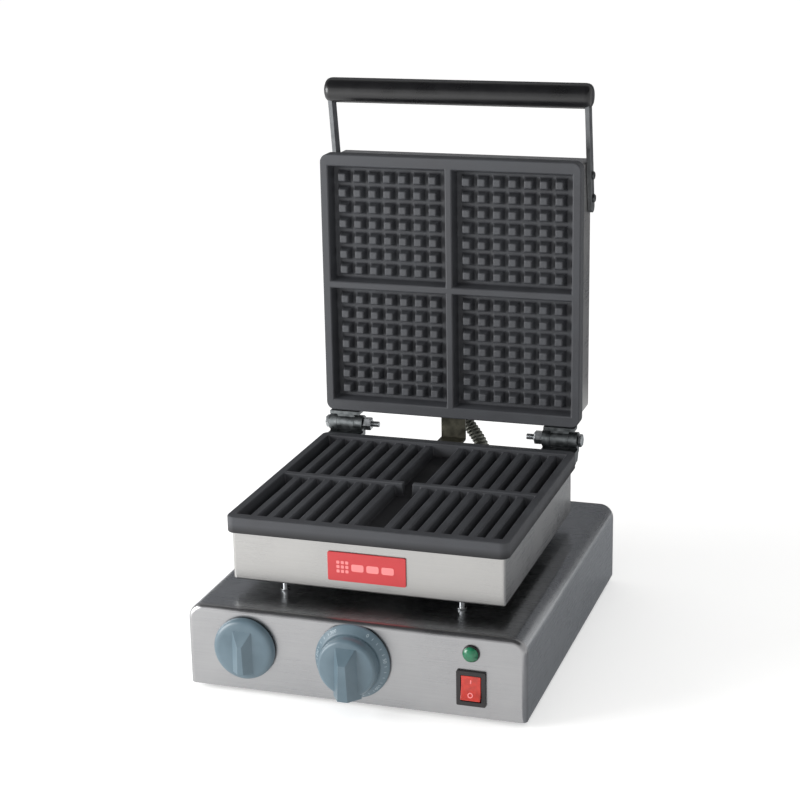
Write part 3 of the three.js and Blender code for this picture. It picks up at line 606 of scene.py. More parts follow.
# The end panels: how deep the front one's edge is turned back, the bend of that edge, and the
# lip that slides inside the wrap.
FASCIA_DEPTH = 6.5
FASCIA_BEND = 4.5
LIP_DEPTH = 10
LIP_SHEET = 1.2
LIP_PLAY = 0.4
# Radii of the holes.
POST_HOLE = 2.4
UNION_HOLE = 8.3
CAPILLARY_HOLE = 6
SHAFT_HOLE = 5.4
LAMP_HOLE = 5.9
# How far the switch's frame overlaps its cut-out.
SWITCH_LEDGE = 1.2
# The thermostat's capillary rises this far in front of the lower plate's middle.
PROBE_AHEAD = 50
BULB_RADIUS = 3


def holes_for_posts(level):
    """Cutters for the four post holes through a sheet at one height."""
    cutters = []
    for corner in CORNER_NAMES:
        at = middle("post_" + corner)
        cutters.append(drill(POST_HOLE, FACE_UP, (at.x, at.y, level), sides=24))
    return cutters


def hole_for_capillary(level):
    """A cutter for the hole that the thermostat's capillary passes through."""
    x = corners("thermostat_bulb")[0].x + BULB_RADIUS
    y = middle("lower_plate").y - PROBE_AHEAD
    return drill(CAPILLARY_HOLE, FACE_UP, (x, y, level), sides=24)


def make_base_cover():
    """One sheet bent round the top and both sides, with a flange turned in under each side."""
    low, high = corners("base_cover")
    low.y = corners("front_panel")[0].y + FASCIA_DEPTH + SEAM
    cover = block(low, high)
    edit(cover)
    pick(cover, "EDGE", lambda at, way: abs(way.y) > SQUARE and at.z > high.z - 1)
    bpy.ops.mesh.bevel(offset=EDGE_RADIUS * MM, segments=10)
    slice_faces(cover, 0, (low.x + FLANGE, high.x - FLANGE), lambda at, way: way.z < -SQUARE)
    pick(cover, "FACE", lambda at, way: way.z < -SQUARE and abs(at.x) < 20)
    bpy.ops.mesh.delete(type="FACE")
    pick(cover, "FACE", lambda at, way: abs(way.y) > SQUARE)
    bpy.ops.mesh.delete(type="FACE")
    wall(cover, SHEET)
    union = middle("conduit_lower_fitting")
    cut(cover, *holes_for_posts(high.z), drill(UNION_HOLE, FACE_UP, (union.x, union.y, high.z)),
        hole_for_capillary(high.z))
    ease(cover, 0.35)
    return finish(cover, "base_wrap", WRAP_STEEL, "base", ["base_cover"],
                  smooth=False)


def make_end_panel(node, name, facing, tools, thick, bend=0):
    """An end panel that covers the wrap's end, with a lip that slides inside it.

    Facing is -1 for the front and 1 for the back; bend rounds the edge that is turned back.
    """
    low, high = corners(node)
    outer = low.y if facing < 0 else high.y
    inner = outer - facing * thick
    y0, y1 = sorted((outer, inner))
    panel = block((low.x, y0, low.z), (high.x, y1, high.z))
    edit(panel)
    pick(panel, "EDGE", lambda at, way: abs(way.y) > SQUARE and at.z > high.z - 1)
    bpy.ops.mesh.bevel(offset=EDGE_RADIUS * MM, segments=10)
    if bend:
        pick(panel, "EDGE", lambda at, way: abs(at.y - outer) < 0.1 and at.z > low.z + 1)
        bpy.ops.mesh.bevel(offset=bend * MM, segments=6)
    pick(panel, "FACE", lambda at, way: way.y * facing < -SQUARE)
    bpy.ops.mesh.inset(thickness=(SHEET + LIP_PLAY) * MM)
    draw_out(y=-facing * LIP_DEPTH)
    bpy.ops.mesh.inset(thickness=LIP_SHEET * MM)
    draw_out(y=facing * (LIP_DEPTH - 0.1))
    cut(panel, *tools)
    ease(panel, 0.6, 3)
    return finish(panel, name, FASCIA_STEEL, "base", [node], smooth=False)


def make_front_panel():
    """The control panel, bored for two shafts and the lamp and cut out for the switch."""
    face = corners("front_panel")[0].y
    timer, thermostat = joint_at("timer_turn"), joint_at("thermostat_turn")
    lamp = middle("indicator_body")
    switch_low, switch_high = corners("switch_body")
    reach = 6
    tools = [drill(SHAFT_HOLE, FACE_FRONT, (timer.x, face, timer.z), reach),
             drill(SHAFT_HOLE, FACE_FRONT, (thermostat.x, face, thermostat.z), reach),
             drill(LAMP_HOLE, FACE_FRONT, (lamp.x, face, lamp.z), reach),
             block((switch_low.x + SWITCH_LEDGE, face - reach, switch_low.z + SWITCH_LEDGE),
                   (switch_high.x - SWITCH_LEDGE, face + reach, switch_high.z - SWITCH_LEDGE))]
    return make_end_panel("front_panel", "control_fascia", -1, tools, FASCIA_DEPTH, FASCIA_BEND)


def make_rear_panel():
    """The back of the base, with a bore for the cord's gland and a row of vent slots."""
    low, high = corners("rear_panel")
    gland = middle("gland_body")
    reach = 6
    tools = [drill(UNION_HOLE, FACE_FRONT, (gland.x, high.y, gland.z), reach)]
    slots, first, spacing, half_width, floor, ceiling = 7, 10.5, 14, 2.5, 20, 54
    for slot in range(slots):
        x = first + slot * spacing
        louvre = block((x - half_width, high.y - reach, low.z + floor),
                       (x + half_width, high.y + reach, low.z + ceiling))
        edit(louvre)
        pick(louvre, "EDGE", lambda at, way: abs(way.y) > SQUARE)
        bpy.ops.mesh.bevel(offset=2.2 * MM, segments=5)
        tools.append(louvre)
    return make_end_panel("rear_panel", "rear_fascia", 1, tools, thick=2)


def make_screw(head_radius, head_height, shank_radius, shank):
    """A pan-head screw with a cross recess, its head's seat at z = 0 and its shank below."""
    # Radii and heights from the head's rim to its crown, as shares of its own.
    head = [(1, 0), (1, 0.35), (0.93, 0.65), (0.75, 0.88), (0.4, 1)]
    profile = [[shank_radius, -shank], [shank_radius, 0]]
    profile += [[head_radius * wide, head_height * high] for wide, high in head]
    screw = turned(profile, 32)
    arm, half = head_radius * 0.55, head_radius * 0.16
    floor, above = head_height * 0.35, head_height * 2
    return cut(screw, block((-arm, -half, floor), (arm, half, above)),
               block((-half, -arm, floor), (half, arm, above)))


def make_rear_screws():
    """Four small screws near the rear panel's corners."""
    low, high = corners("rear_panel")
    aside, from_floor, from_top = 12, 12, 16
    screws = []
    for x in (low.x + aside, high.x - aside):
        for z in (low.z + from_floor, high.z - from_top):
            screws.append(put(make_screw(3.4, 1.9, 1.6, 5), FACE_BACK, (x, high.y + 0.1, z)))
    return finish(gathered(screws), "rear_screws", BOLT_STEEL, "base")


def make_feet():
    """Rubber pads, each with a rounded rim, a neck for the bottom sheet and a push-in stem."""
    for corner in CORNER_NAMES:
        node = "foot_" + corner
        at, top = middle(node), corners(node)[1].z
        pad = [[7, 0], [9.2, 0], [9.8, 0.5], [10, 1.2], [9.5, 5.6], [9.1, 6.2]]
        stem = [[3, 6.3], [3, 8.6], [4.6, 8.6], [3.4, top], [1.5, top]]
        foot = put(turned(pad + stem, 40), FACE_UP, (at.x, at.y, 0))
        finish(foot, "foot_pad_" + corner, RUBBER, "base", [node])


def make_posts():
    """Plain studs that carry the baking unit, with a thin washer at each end."""
    into_sheets = 6.3
    # The washer's radii and heights, from the side that rests on the sheet.
    washer = [(4, 0), (4.2, 0.2), (4.2, 0.7), (4, 0.9)]
    for corner in CORNER_NAMES:
        node = "post_" + corner
        low, high = corners(node)
        at = (low + high) / 2
        floor, ceiling = low.z + into_sheets, high.z - into_sheets
        profile = [[1.6, low.z], [2, low.z + 0.4], [2, floor]]
        profile += [[wide, floor + rise] for wide, rise in washer]
        profile += [[2.5, floor + 0.9], [2.5, ceiling - 0.9]]
        profile += [[wide, ceiling - rise] for wide, rise in reversed(washer)]
        profile += [[2, ceiling], [2, high.z - 0.4], [1.6, high.z]]
        stud = put(turned(profile, 32), FACE_UP, (at.x, at.y, 0))
        finish(stud, "unit_stud_" + corner, POST_STEEL, "base", [node])


# ---------------------------------------------------------------- castings
# Each is made face up, with its face at z = 0 about its middle.
# The slab: its height, the spigot that drops into the housing, and its corners' radius.
RIM = 14.7
SPIGOT = 5
SPIGOT_INSET = 6.3
CORNER = 8
# Four quarters are sunk into it, with a cross of ribs between them and a notch through one rib.
RECESS = 12
RECESS_SIZE = (115, 111.5)
RECESS_DRAFT = 2.4
RIB = 6.4
NOTCH = 9
# Each quarter holds a grid of studs or a row of bars, narrow at the top and wide at the foot.
COUNT = 7
PITCH = 14.8
RISE = 9.5
TOP = 7
DRAFT = 0.21
FOOT = TOP + 2 * RISE * DRAFT
# A quarter's middle and its outer edge, along each axis.
QUARTER = [(RIB + size) / 2 for size in RECESS_SIZE]
REACH = [RIB / 2 + size for size in RECESS_SIZE]


def row(axis):
    """The places of the grid's lines along one axis, both quarters."""
    steps = [(k - (COUNT - 1) / 2) * PITCH for k in range(COUNT)]
    return [side * QUARTER[axis] + step for side in (-1, 1) for step in steps]


def plate_blank(node):
    """The slab with rounded corners and the spigot that drops into the housing."""
    low, high = corners(node)
    width = high.x - low.x
    depth = max(high.y - low.y, high.z - low.z)
    plate = block((-width / 2, -depth / 2, -RIM), (width / 2, depth / 2, 0))
    edit(plate)
    pick(plate, "EDGE", lambda at, way: abs(way.z) > SQUARE)
    bpy.ops.mesh.bevel(offset=CORNER * MM, segments=8)
    pick(plate, "FACE", lambda at, way: way.z < -SQUARE)
    bpy.ops.mesh.inset(thickness=SPIGOT_INSET * MM)
    draw_out(z=-SPIGOT)
    return plate


def at_level(level):
    """A test for the faces that look up from one level."""
    return lambda at, way: way.z > SQUARE and abs(at.z - level) < 0.05


def mark_quarters(plate, gaps):
    """Draws the quarters' outlines on the top face, with a gap between them along each axis."""
    for axis, gap in enumerate(gaps):
        slice_faces(plate, axis, (-REACH[axis], -gap / 2, gap / 2, REACH[axis]), at_level(0))


def make_stud_plate():
    """The lid's casting: four quarters of square studs between a rim and a cross of ribs."""
    plate = plate_blank("upper_plate")
    mark_quarters(plate, (RIB, RIB))
    pick(plate, "FACE", lambda at, way: at_level(0)(at, way)
         and abs(abs(at.x) - QUARTER[0]) < 1 and abs(abs(at.y) - QUARTER[1]) < 1)
    bpy.ops.mesh.inset(thickness=RECESS_DRAFT * MM, depth=-RECESS * MM, use_individual=True)
    for axis in (0, 1):
        lines = [place + side * FOOT / 2 for place in row(axis) for side in (-1, 1)]
        slice_faces(plate, axis, lines, at_level(-RECESS))
    columns, rows = row(0), row(1)
    pick(plate, "FACE", lambda at, way: at_level(-RECESS)(at, way)
         and min(abs(at.x - place) for place in columns) < 0.5
         and min(abs(at.y - place) for place in rows) < 0.5)
    bpy.ops.mesh.inset(thickness=(FOOT - TOP) / 2 * MM, depth=RISE * MM, use_individual=True)
    ease(plate, 1.1, angle=25)
    low, high = corners("upper_plate")
    put(plate, FACE_FRONT, (0, low.y, (low.z + high.z) / 2))
    return finish(plate, "lid_casting", LID_IRON, "lid", ["upper_plate"],
                  smooth=False)


def make_bar_plate():
    """The lower casting: bars from rim to rib, an open channel and a notch through the rib."""
    plate = plate_blank("lower_plate")
    mark_quarters(plate, (NOTCH, RIB))
    # The bars' tops lie a little below the rim.
    drop = RECESS - RISE
    pick(plate, "FACE", lambda at, way: at_level(0)(at, way)
         and abs(at.x) < REACH[0] and abs(at.y) < REACH[1]
         and (abs(at.y) > RIB / 2 or abs(at.x) < NOTCH / 2))
    draw_out(z=-drop)
    columns = row(0)
    edges = [place + side * TOP / 2 for place in columns for side in (-1, 1)]
    slice_faces(plate, 0, edges, at_level(-drop))
    inner = min(abs(edge) for edge in edges)
    pick(plate, "FACE", lambda at, way: at_level(-drop)(at, way) and abs(at.x) > inner
         and min(abs(at.x - place) for place in columns) > 0.5)
    bpy.ops.mesh.inset(thickness=(FOOT - TOP) / 2 * MM, depth=-RISE * MM, use_individual=True)
    # The channel between the innermost bars narrows towards its floor.
    pick(plate, "FACE", lambda at, way: at_level(-drop)(at, way) and abs(at.x) < inner)
    draw_out(z=-RISE)
    bpy.ops.transform.resize(value=(0.86, 0.98, 1), center_override=(0, 0, -RECESS * MM))
    ease(plate, 1.0, angle=25)
    low, high = corners("lower_plate")
    put(plate, FACE_UP, (0, (low.y + high.y) / 2, high.z))
    return finish(plate, "lower_casting", LOWER_IRON, "base", ["lower_plate"],
                  smooth=False)


# ---------------------------------------------------------------- housings
TRAY_CORNER = 3
TRAY_FOLD = 1.8
ARM_SCREW_HOLE = 2.3


def tray(width, depth, height):
    """A folded steel tray, open at the top, its rim at z = 0."""
    shell = block((-width / 2, -depth / 2, -height), (width / 2, depth / 2, 0))
    edit(shell)
    pick(shell, "EDGE", lambda at, way: abs(way.z) > SQUARE)
    bpy.ops.mesh.bevel(offset=TRAY_CORNER * MM, segments=5)
    pick(shell, "EDGE", lambda at, way: abs(way.z) < 0.1 and at.z < -height + 0.1)
    bpy.ops.mesh.bevel(offset=TRAY_FOLD * MM, segments=4)
    pick(shell, "FACE", lambda at, way: way.z > SQUARE)
    bpy.ops.mesh.delete(type="FACE")
    wall(shell, SHEET)
    return shell


def make_lower_housing():
    """The tray under the lower casting, bored for its posts and the capillary."""
    low, high = corners("lower_housing")
    size = high - low
    shell = put(tray(size.x, size.y, size.z), FACE_UP, (0, (low.y + high.y) / 2, high.z))
    cut(shell, *holes_for_posts(low.z), hole_for_capillary(low.z))
    return finish(shell, "lower_tray", STAINLESS, "base", ["lower_housing"])


def make_upper_housing():
    """The lid's tray, bored for the conduit's union and the arms' screws."""
    low, high = corners("upper_housing")
    size = high - low
    shell = put(tray(size.x, size.z, size.y), FACE_FRONT, (0, low.y, (low.z + high.z) / 2))
    union = middle("conduit_upper_fitting")
    cutters = [drill(UNION_HOLE, FACE_UP, (union.x, union.y, low.z))]
    for side, wall_x in (("left", low.x), ("right", high.x)):
        for place in ("low", "high"):
            at = middle(f"arm_screw_{side}_{place}")
            cutters.append(drill(ARM_SCREW_HOLE, FACE_RIGHT, (wall_x, at.y, at.z), sides=24))
    cut(shell, *cutters)
    return finish(shell, "lid_tray", STAINLESS, "lid", ["upper_housing"])


def make_badge():
    """A red plate with a plain printed waffle mark: a small grid and three short bars."""
    low, high = corners("badge")
    plate = block(low, high)
    edit(plate)
    pick(plate, "EDGE", lambda at, way: abs(way.y) > SQUARE)
    bpy.ops.mesh.bevel(offset=1.5 * MM, segments=5)
    ease(plate, 0.25)
    finish(plate, "badge_plate", PRINT_RED, "base", ["badge"], smooth=False)
    face, centre = low.y, (low + high) / 2
    proud, clear = 0.14, 0.02
    marks = []

    def mark(x, z, wide, tall):
        """A flat printed shape with rounded corners, about a point on the badge."""
        printed = block((centre.x + x - wide / 2, face - proud, centre.z + z - tall / 2),
                        (centre.x + x + wide / 2, face - clear, centre.z + z + tall / 2))
        edit(printed)
        pick(printed, "EDGE", lambda at, way: abs(way.y) > SQUARE)
        bpy.ops.mesh.bevel(offset=min(wide, tall) * 0.25 * MM, segments=3)
        marks.append(printed)

    grid_x, spacing = -21.5, 4
    for column in (-1, 0, 1):
        for line in (-1, 0, 1):
            mark(grid_x + column * spacing, line * spacing, 2.8, 2.8)
    for bar_x in (-8, 5.5, 19):
        mark(bar_x, 0, 11, 6.5)
    return finish(gathered(marks), "badge_marks", PRINT_PALE, "base")


# ---------------------------------------------------------------- controls
# Each is made face up, along +Z out from the panel's face, and then turned to the front.
SHAFT_BORE = 3.3


def grip_wedge(top, bottom, foot, crown, low, high):
    """A thumb bar from bottom to top, wide at the foot and narrow at the crown.

    It slopes down to the disc at its top end.
    """
    bar = block((-foot / 2, -bottom, low), (foot / 2, top, high))
    edit(bar)
    pick(bar, "FACE", lambda at, way: way.z > SQUARE)
    bpy.ops.transform.resize(value=(crown / foot, 0.96, 1), center_override=(0, 0, high * MM))
    slice_faces(bar, 1, [top * 0.3], lambda at, way: True)
    # The top end comes down almost to the disc and widens again; the bottom end flares a little.
    pick(bar, "EDGE", lambda at, way: abs(way.x) > SQUARE
         and at.y > top * 0.8 and at.z > high - 0.5)
    bpy.ops.transform.translate(value=(0, 0, -(high - low - 1.2) * MM))
    bpy.ops.transform.resize(value=(foot * 0.8 / crown, 1, 1))
    pick(bar, "EDGE", lambda at, way: abs(way.x) > SQUARE
         and at.y < -bottom * 0.8 and at.z > high - 0.5)
    bpy.ops.transform.resize(value=(1.5, 1, 1))
    choose(bar)
    return bar


def make_timer_knob():
    """A round dial with a thumb bar across it."""
    centre = joint_at("timer_turn")
    low, high = corners("timer_knob")
    r = (high.z - low.z) / 2
    tall = centre.y - low.y
    disc = turned([[r - 1.5, 1], [r - 0.5, 1], [r, 1.6], [r - 0.2, 4.2], [r - 0.8, 6],
                   [r - 2, 7.3], [r - 3.8, 8.1], [r - 6.5, 8.5], [5, 8.8]], 96)
    wedge = grip_wedge(top=0.66 * r, bottom=0.74 * r, foot=21, crown=3.6, low=7.4, high=tall)
    knob = weld(disc, wedge)
    cut(knob, rod(SHAFT_BORE, 0, 12, 24))
    ease(knob, 0.9, 3, 28)
    put(knob, FACE_FRONT, centre)
    return finish(knob, "timer_dial", KNOB, "timer_control", ["timer_knob"],
                  smooth=False)


def make_thermostat_dial():
    """The sloping skirt, with a scale of plain numbers and ticks round it."""
    centre = joint_at("thermostat_turn")
    low, high = corners("thermostat_dial")
    r = (high.z - low.z) / 2
    face = centre.y - low.y
    # The cone that carries the scale, from its foot to its crown.
    cone_foot, cone_crown, cone_run = 3.9, 8.6, 4.8
    skirt = turned([[r - 0.9, 1], [r - 0.3, 1], [r, 1.4], [r, 3.2], [r - 0.4, cone_foot],
                    [r - 5.2, cone_crown], [r - 5.9, face], [8.5, face]], 96)
    cut(skirt, rod(8.3, 0, 12, 48))
    put(skirt, FACE_FRONT, centre)
    finish(skirt, "thermostat_skirt", KNOB, "thermostat_control",
           ["thermostat_dial"])
    marks = []
    slope = math.atan2(cone_crown - cone_foot, cone_run)
    mid_radius, mid_height = r - 2.8, 6.25
    lift = 0.06

    def on_skirt(piece, angle):
        """Lays a flat mark on the cone, at an angle clockwise from the top."""
        tilt = Matrix.Rotation(-slope, 4, "X")
        out = Matrix.Translation(Vector((0, mid_radius, mid_height + lift)) * MM)
        spin = Matrix.Rotation(-math.radians(angle), 4, "Z")
        stand = Matrix.Translation(centre * MM) @ Matrix.Rotation(math.pi / 2, 4, "X")
        piece.matrix_world = stand @ spin @ out @ tilt
        settle(piece)
        marks.append(piece)

    # The scale starts 30 degrees past the top, with a tick every 10 and a number every 50.
    start, tick, ticks, per_number = 30, 10, 31, 5
    for step in range(ticks):
        if step % per_number:
            on_skirt(block((-0.2, -0.8, -0.05), (0.2, 1.4, 0.05)), start + step * tick)
    for step, number in enumerate(("0", "50", "100", "150", "200", "250", "300")):
        choose(None)
        bpy.ops.object.text_add()
        text = bpy.context.object
        text.data.body = number
        text.data.size = 4.4 * MM
        text.data.align_x = "CENTER"
        text.data.align_y = "CENTER"
        text.data.extrude = 0.05 * MM
        text.data.resolution_u = 3
        choose(text)
        bpy.ops.object.convert(target="MESH")
        on_skirt(bpy.context.object, start + step * tick * per_number)
    return finish(gathered(marks), "thermostat_scale", PRINT_GREY, "thermostat_control")


def make_thermostat_knob():
    """A drum inside the skirt, with a thumb bar that hangs over it like a pointer."""
    centre = joint_at("thermostat_turn")
    low, high = corners("thermostat_knob")
    r = (high.x - low.x) / 2
    tall = centre.y - low.y
    drum = turned([[8, 2], [8, 9.3], [r - 0.6, 9.3], [r, 9.9], [r, 16.5], [r - 0.5, 18.3],
                   [r - 1.6, 19.6], [r - 3.2, 20.3], [6, 20.6]], 96)
    wedge = grip_wedge(top=0.86 * r, bottom=centre.z - low.z, foot=25, crown=6, low=17,
                       high=tall)
    knob = weld(drum, wedge)
    cut(knob, rod(SHAFT_BORE, 0, 16, 24))
    ease(knob, 1.2, 3, 28)
    put(knob, FACE_FRONT, centre)
    return finish(knob, "thermostat_grip", KNOB, "thermostat_control",
                  ["thermostat_knob"], smooth=False)


def make_lamp():
    """A green dome in a black ring, with its holder through the panel."""
    centre = middle("indicator_lens")
    face = corners("front_panel")[0].y
    at = (centre.x, face, centre.z)
    ring = turned([[5.5, -20], [5.5, 0.3], [7.1, 0.3], [7.4, 0.6], [7.4, 1.2], [7.1, 1.8],
                   [6.6, 2], [5, 2], [5, -6]], 64)
    put(ring, FACE_FRONT, at)
    finish(ring, "lamp_holder", NYLON, "base", ["indicator_body"])
    dome = turned([[4.4, -4], [4.6, -3.6], [4.6, 2.4], [6.5, 2.4], [6.6, 2.8], [6.3, 3.6],
                   [5.6, 4.4], [4.4, 5.1], [2.8, 5.7], [1.2, 6]], 64)
    put(dome, FACE_FRONT, at)
    return finish(dome, "lamp_dome", GREEN, "base", ["indicator_lens"])


# The paddle rests pressed at one end, this many degrees from level.
SWITCH_LEAN = 8


def make_switch():
    """A rocker switch: its frame, its paddle and the marks on the paddle."""
    low, high = corners("switch_body")
    face = corners("front_panel")[0].y
    x, z = (low.x + high.x) / 2, (low.z + high.z) / 2
    width, height = high.x - low.x, high.z - low.z
    half_wide, half = (width - 8.2) / 2, (height - 9.6) / 2
    bezel = block((-width / 2, -height / 2, 0.3), (width / 2, height / 2, 2.4))
    edit(bezel)
    pick(bezel, "EDGE", lambda at, way: abs(way.z) > SQUARE)
    bpy.ops.mesh.bevel(offset=1.2 * MM, segments=4)
    step_in, depth = 1.5, 24
    weld(bezel, block((-width / 2 + step_in, -height / 2 + step_in, -depth),
                      (width / 2 - step_in, height / 2 - step_in, 1)))
    well_wide, well_half = half_wide + 0.4, half + 0.9
    cut(bezel, block((-well_wide, -well_half, -9.5), (well_wide, well_half, 6)))
    ease(bezel, 0.5, 3)
    put(bezel, FACE_FRONT, (x, face, z))
    finish(bezel, "switch_frame", NYLON, "base", ["switch_body"], smooth=False)

    rise = half * math.tan(math.radians(SWITCH_LEAN))
    paddle = block((-half_wide, -half, -4), (half_wide, half, 6))
    edit(paddle)
    lines = [half * k / 4 for k in range(-3, 4)]
    slice_faces(paddle, 1, lines, lambda at, way: True)
    # The pressed face is a shallow trough, so each line across it stands higher towards its ends.
    for line in (-half, *lines, half):
        share = abs(line) / half
        pick(paddle, "EDGE", lambda at, way: abs(way.x) > SQUARE and at.z > 0
             and abs(at.y - line) < 0.05)
        lift = rise * MM * (0.35 * share + 0.65 * share * share)
        bpy.ops.transform.translate(value=(0, 0, lift))
    pick(paddle, "FACE", lambda at, way: way.z < -SQUARE)
    bpy.ops.transform.resize(value=(1, 0.45, 1))
    ease(paddle, 0.6, 3, 40)
    pivot = joint_at("switch_rock")
    tilt = (math.pi / 2 - math.radians(SWITCH_LEAN), 0, 0)
    put(paddle, tilt, pivot)
    finish(paddle, "rocker_paddle", RED, "rocker", ["switch_rocker"], smooth=False)
    # A stroke for on and a ring for off.
    stroke = block((-0.45, half * 0.38, 6.2), (0.45, half * 0.72, 6.34 + rise * 0.3))
    ring = turned([[2.3, 6], [2.3, 7.1], [1.5, 7.1], [1.5, 6]], 32)
    ring.location = (0, -half * 0.55 * MM, 0)
    settle(ring)
    marks = gathered([stroke, ring])
    put(marks, tilt, pivot)
    return finish(marks, "rocker_marks", PRINT_PALE, "rocker")


# ---------------------------------------------------------------- hinges
# Each hinge: where its two lugs start and end along X, its knuckle's radius, its pin's bore, and
# the room between a knuckle and what passes it.
LUGS = ((90, 98), (116, 124))
KNUCKLE = 8
PIN_BORE = 3.3
SIDE_PLAY = 0.3
UNDER_PLAY = 0.6


def across(radius, x0, x1, axis, sides=48):
    """A rod along X about a line through (y, z)."""
    return put(rod(radius, x0, x1, sides), FACE_RIGHT, (0, axis.y, axis.z))


def finish_pair(piece, name, surface_finish, body, node, smooth=True):
    """Finishes a right-hand piece, and its mirror image for the left."""
    twin = mirrored(piece)
    finish(piece, name + "_right", surface_finish, body, [node + "_right"], smooth)
    finish(twin, name + "_left", surface_finish, body, [node + "_left"])


def make_lower_hinges():
    """A block on the casting's back edge with two lugs, cut from one piece of steel."""
    low = corners("lower_hinge_right")[0]
    axis = joint_at("lid_hinge")
    seat, base = low.y, low.z
    first, last = LUGS[0][0], LUGS[1][1]
    shelf = axis.z - KNUCKLE - UNDER_PLAY
    body = block((first, seat, base), (last, seat + 5, shelf))
    for x0, x1 in LUGS:
        web = block((x0, seat, base + 1), (x1, axis.y + KNUCKLE - 1.2, axis.z - 3))
        edit(web)
        # The web slopes from the seat up to the knuckle, above and below.
        pick(web, "EDGE", lambda at, way: abs(way.x) > SQUARE
             and at.y < seat + 1 and at.z > axis.z - 5)
        bpy.ops.transform.translate(value=(0, 0, -10 * MM))
        pick(web, "EDGE", lambda at, way: abs(way.x) > SQUARE
             and at.y > seat + 5 and at.z < base + 3)
        bpy.ops.transform.translate(value=(0, -9 * MM, 0))
        weld(body, web, across(KNUCKLE, x0, x1, axis))
    weld(body, block((first, seat, axis.z - 12), (last, axis.y + 4, shelf)))
    cut(body, across(PIN_BORE, first - 3, last + 3, axis, 32))
    ease(body, 0.6)
    finish_pair(body, "hinge_seat", HINGE_STEEL, "base", "lower_hinge")


def make_upper_hinges():
    """The lid's knuckle, its web and the flange screwed to the casting's lower edge."""
    low, high = corners("upper_hinge_right")
    axis = joint_at("lid_hinge")
    x0, x1 = LUGS[0][1] + SIDE_PLAY, LUGS[1][0] - SIDE_PLAY
    flange = block((low.x, low.y, high.z - 3), (high.x, axis.y + 4.2, high.z))
    body = across(KNUCKLE, x0, x1, axis)
    weld(body, block((x0, axis.y - 4, axis.z + 3), (x1, axis.y + 4, high.z - 2)), flange)
    cut(body, across(PIN_BORE, x0 - 3, x1 + 3, axis, 32))
    ease(body, 0.6)
    finish_pair(body, "hinge_knuckle", HINGE_STEEL, "lid", "upper_hinge")


def hexagon(flats, low, high):
    """A hexagonal bar with its end corners turned off."""
    chamfer = 0.7
    body = rod(flats / math.sqrt(3), low + chamfer, high - chamfer, 6)
    edit(body)
    pick(body, "FACE", lambda at, way: abs(way.z) > SQUARE)
    bpy.ops.mesh.inset(thickness=0.9 * MM, depth=chamfer * MM, use_individual=True)
    choose(body)
    return body


def make_hinge_bolts():
    """A hexagon-head bolt through each hinge, threaded at its inner end, with its nut."""
    axis = joint_at("lid_hinge")
    low, high = corners("hinge_bolt_right")
    nut_low, nut_high = corners("hinge_nut_right")
    head = high.x - 4
    pitch, crest, root = 1.0, 2.95, 2.55
    thread = [[2.5, 0], [2.9, 0.4]]
    turns = int((nut_high.x - low.x) / pitch)
    for turn in range(turns):
        base = 0.4 + turn * pitch
        thread += [[crest, base + 0.15], [root, base + 0.5], [root, base + 0.65],
                   [crest, base + 0.95]]
    thread += [[3, turns * pitch + 1], [3, head - low.x + 0.5]]
    bolt = weld(turned(thread, 32), hexagon(11, head - low.x, high.x - low.x))
    ease(bolt, 0.25, 1, 40)
    put(bolt, FACE_RIGHT, (low.x, axis.y, axis.z))
    nut = hexagon(11.5, nut_low.x, nut_high.x)
    cut(nut, rod(3.25, nut_low.x - 1, nut_high.x + 1, 32))
    ease(nut, 0.25)
    put(nut, FACE_RIGHT, (0, axis.y, axis.z))
    finish_pair(bolt, "pivot_bolt", BOLT_STEEL, "base", "hinge_bolt")
    finish_pair(nut, "pivot_nut", BOLT_STEEL, "base", "hinge_nut")


def make_stop_bracket():
    """A strip bent three times, which the open lid rests against."""
    low, high = corners("lid_stop_bracket")
    axis = joint_at("lid_hinge")
    thick = 2.5
    shelf = axis.z - KNUCKLE
    back = axis.y + 6
    strip = block((low.x, low.y, low.z), (high.x, low.y + thick, shelf))
    weld(strip, block((low.x, low.y, shelf - thick), (high.x, back, shelf)),
         block((low.x, back - thick, shelf - thick), (high.x, back, high.z)))
    edit(strip)
    pick(strip, "EDGE", lambda at, way: abs(way.x) > SQUARE and (
        (abs(at.y - low.y) < 0.2 and abs(at.z - shelf) < 0.2)
        or (abs(at.y - back) < 0.2 and abs(at.z - shelf + thick) < 0.2)))
    bpy.ops.mesh.bevel(offset=2.2 * MM, segments=5)
    ease(strip, 0.4, angle=35)
    return finish(strip, "lid_rest", BRACKET_STEEL, "base",
                  ["lid_stop_bracket"], smooth=False)


# ---------------------------------------------------------------- handle
def make_arms():
    """Two flat strips with rounded ends, which lean back from the lid to the grip."""
    low, high = corners("handle_arm_right")
    screws = middle("arm_screw_right_low"), middle("arm_screw_right_high")
    run = screws[1] - screws[0]
    lean = math.atan2(-run.y, run.z)
    half, end_radius = 6, 5.2
    length = (high.z - low.z) / math.cos(lean) - 1.6
    strip = block((0, -half, -length / 2), (high.x - low.x, half, length / 2))
    edit(strip)
    pick(strip, "EDGE", lambda at, way: abs(way.x) > SQUARE)
    bpy.ops.mesh.bevel(offset=end_radius * MM, segments=8)
    centre = (low + high) / 2
    put(strip, (lean, 0, 0), (low.x, centre.y, centre.z))
    for at in screws:
        cut(strip, drill(ARM_SCREW_HOLE, FACE_RIGHT, (low.x, at.y, at.z), 8, 24))
    ease(strip, 0.5, 3)
    finish_pair(strip, "arm_strip", ARM_STEEL, "lid", "handle_arm", smooth=False)


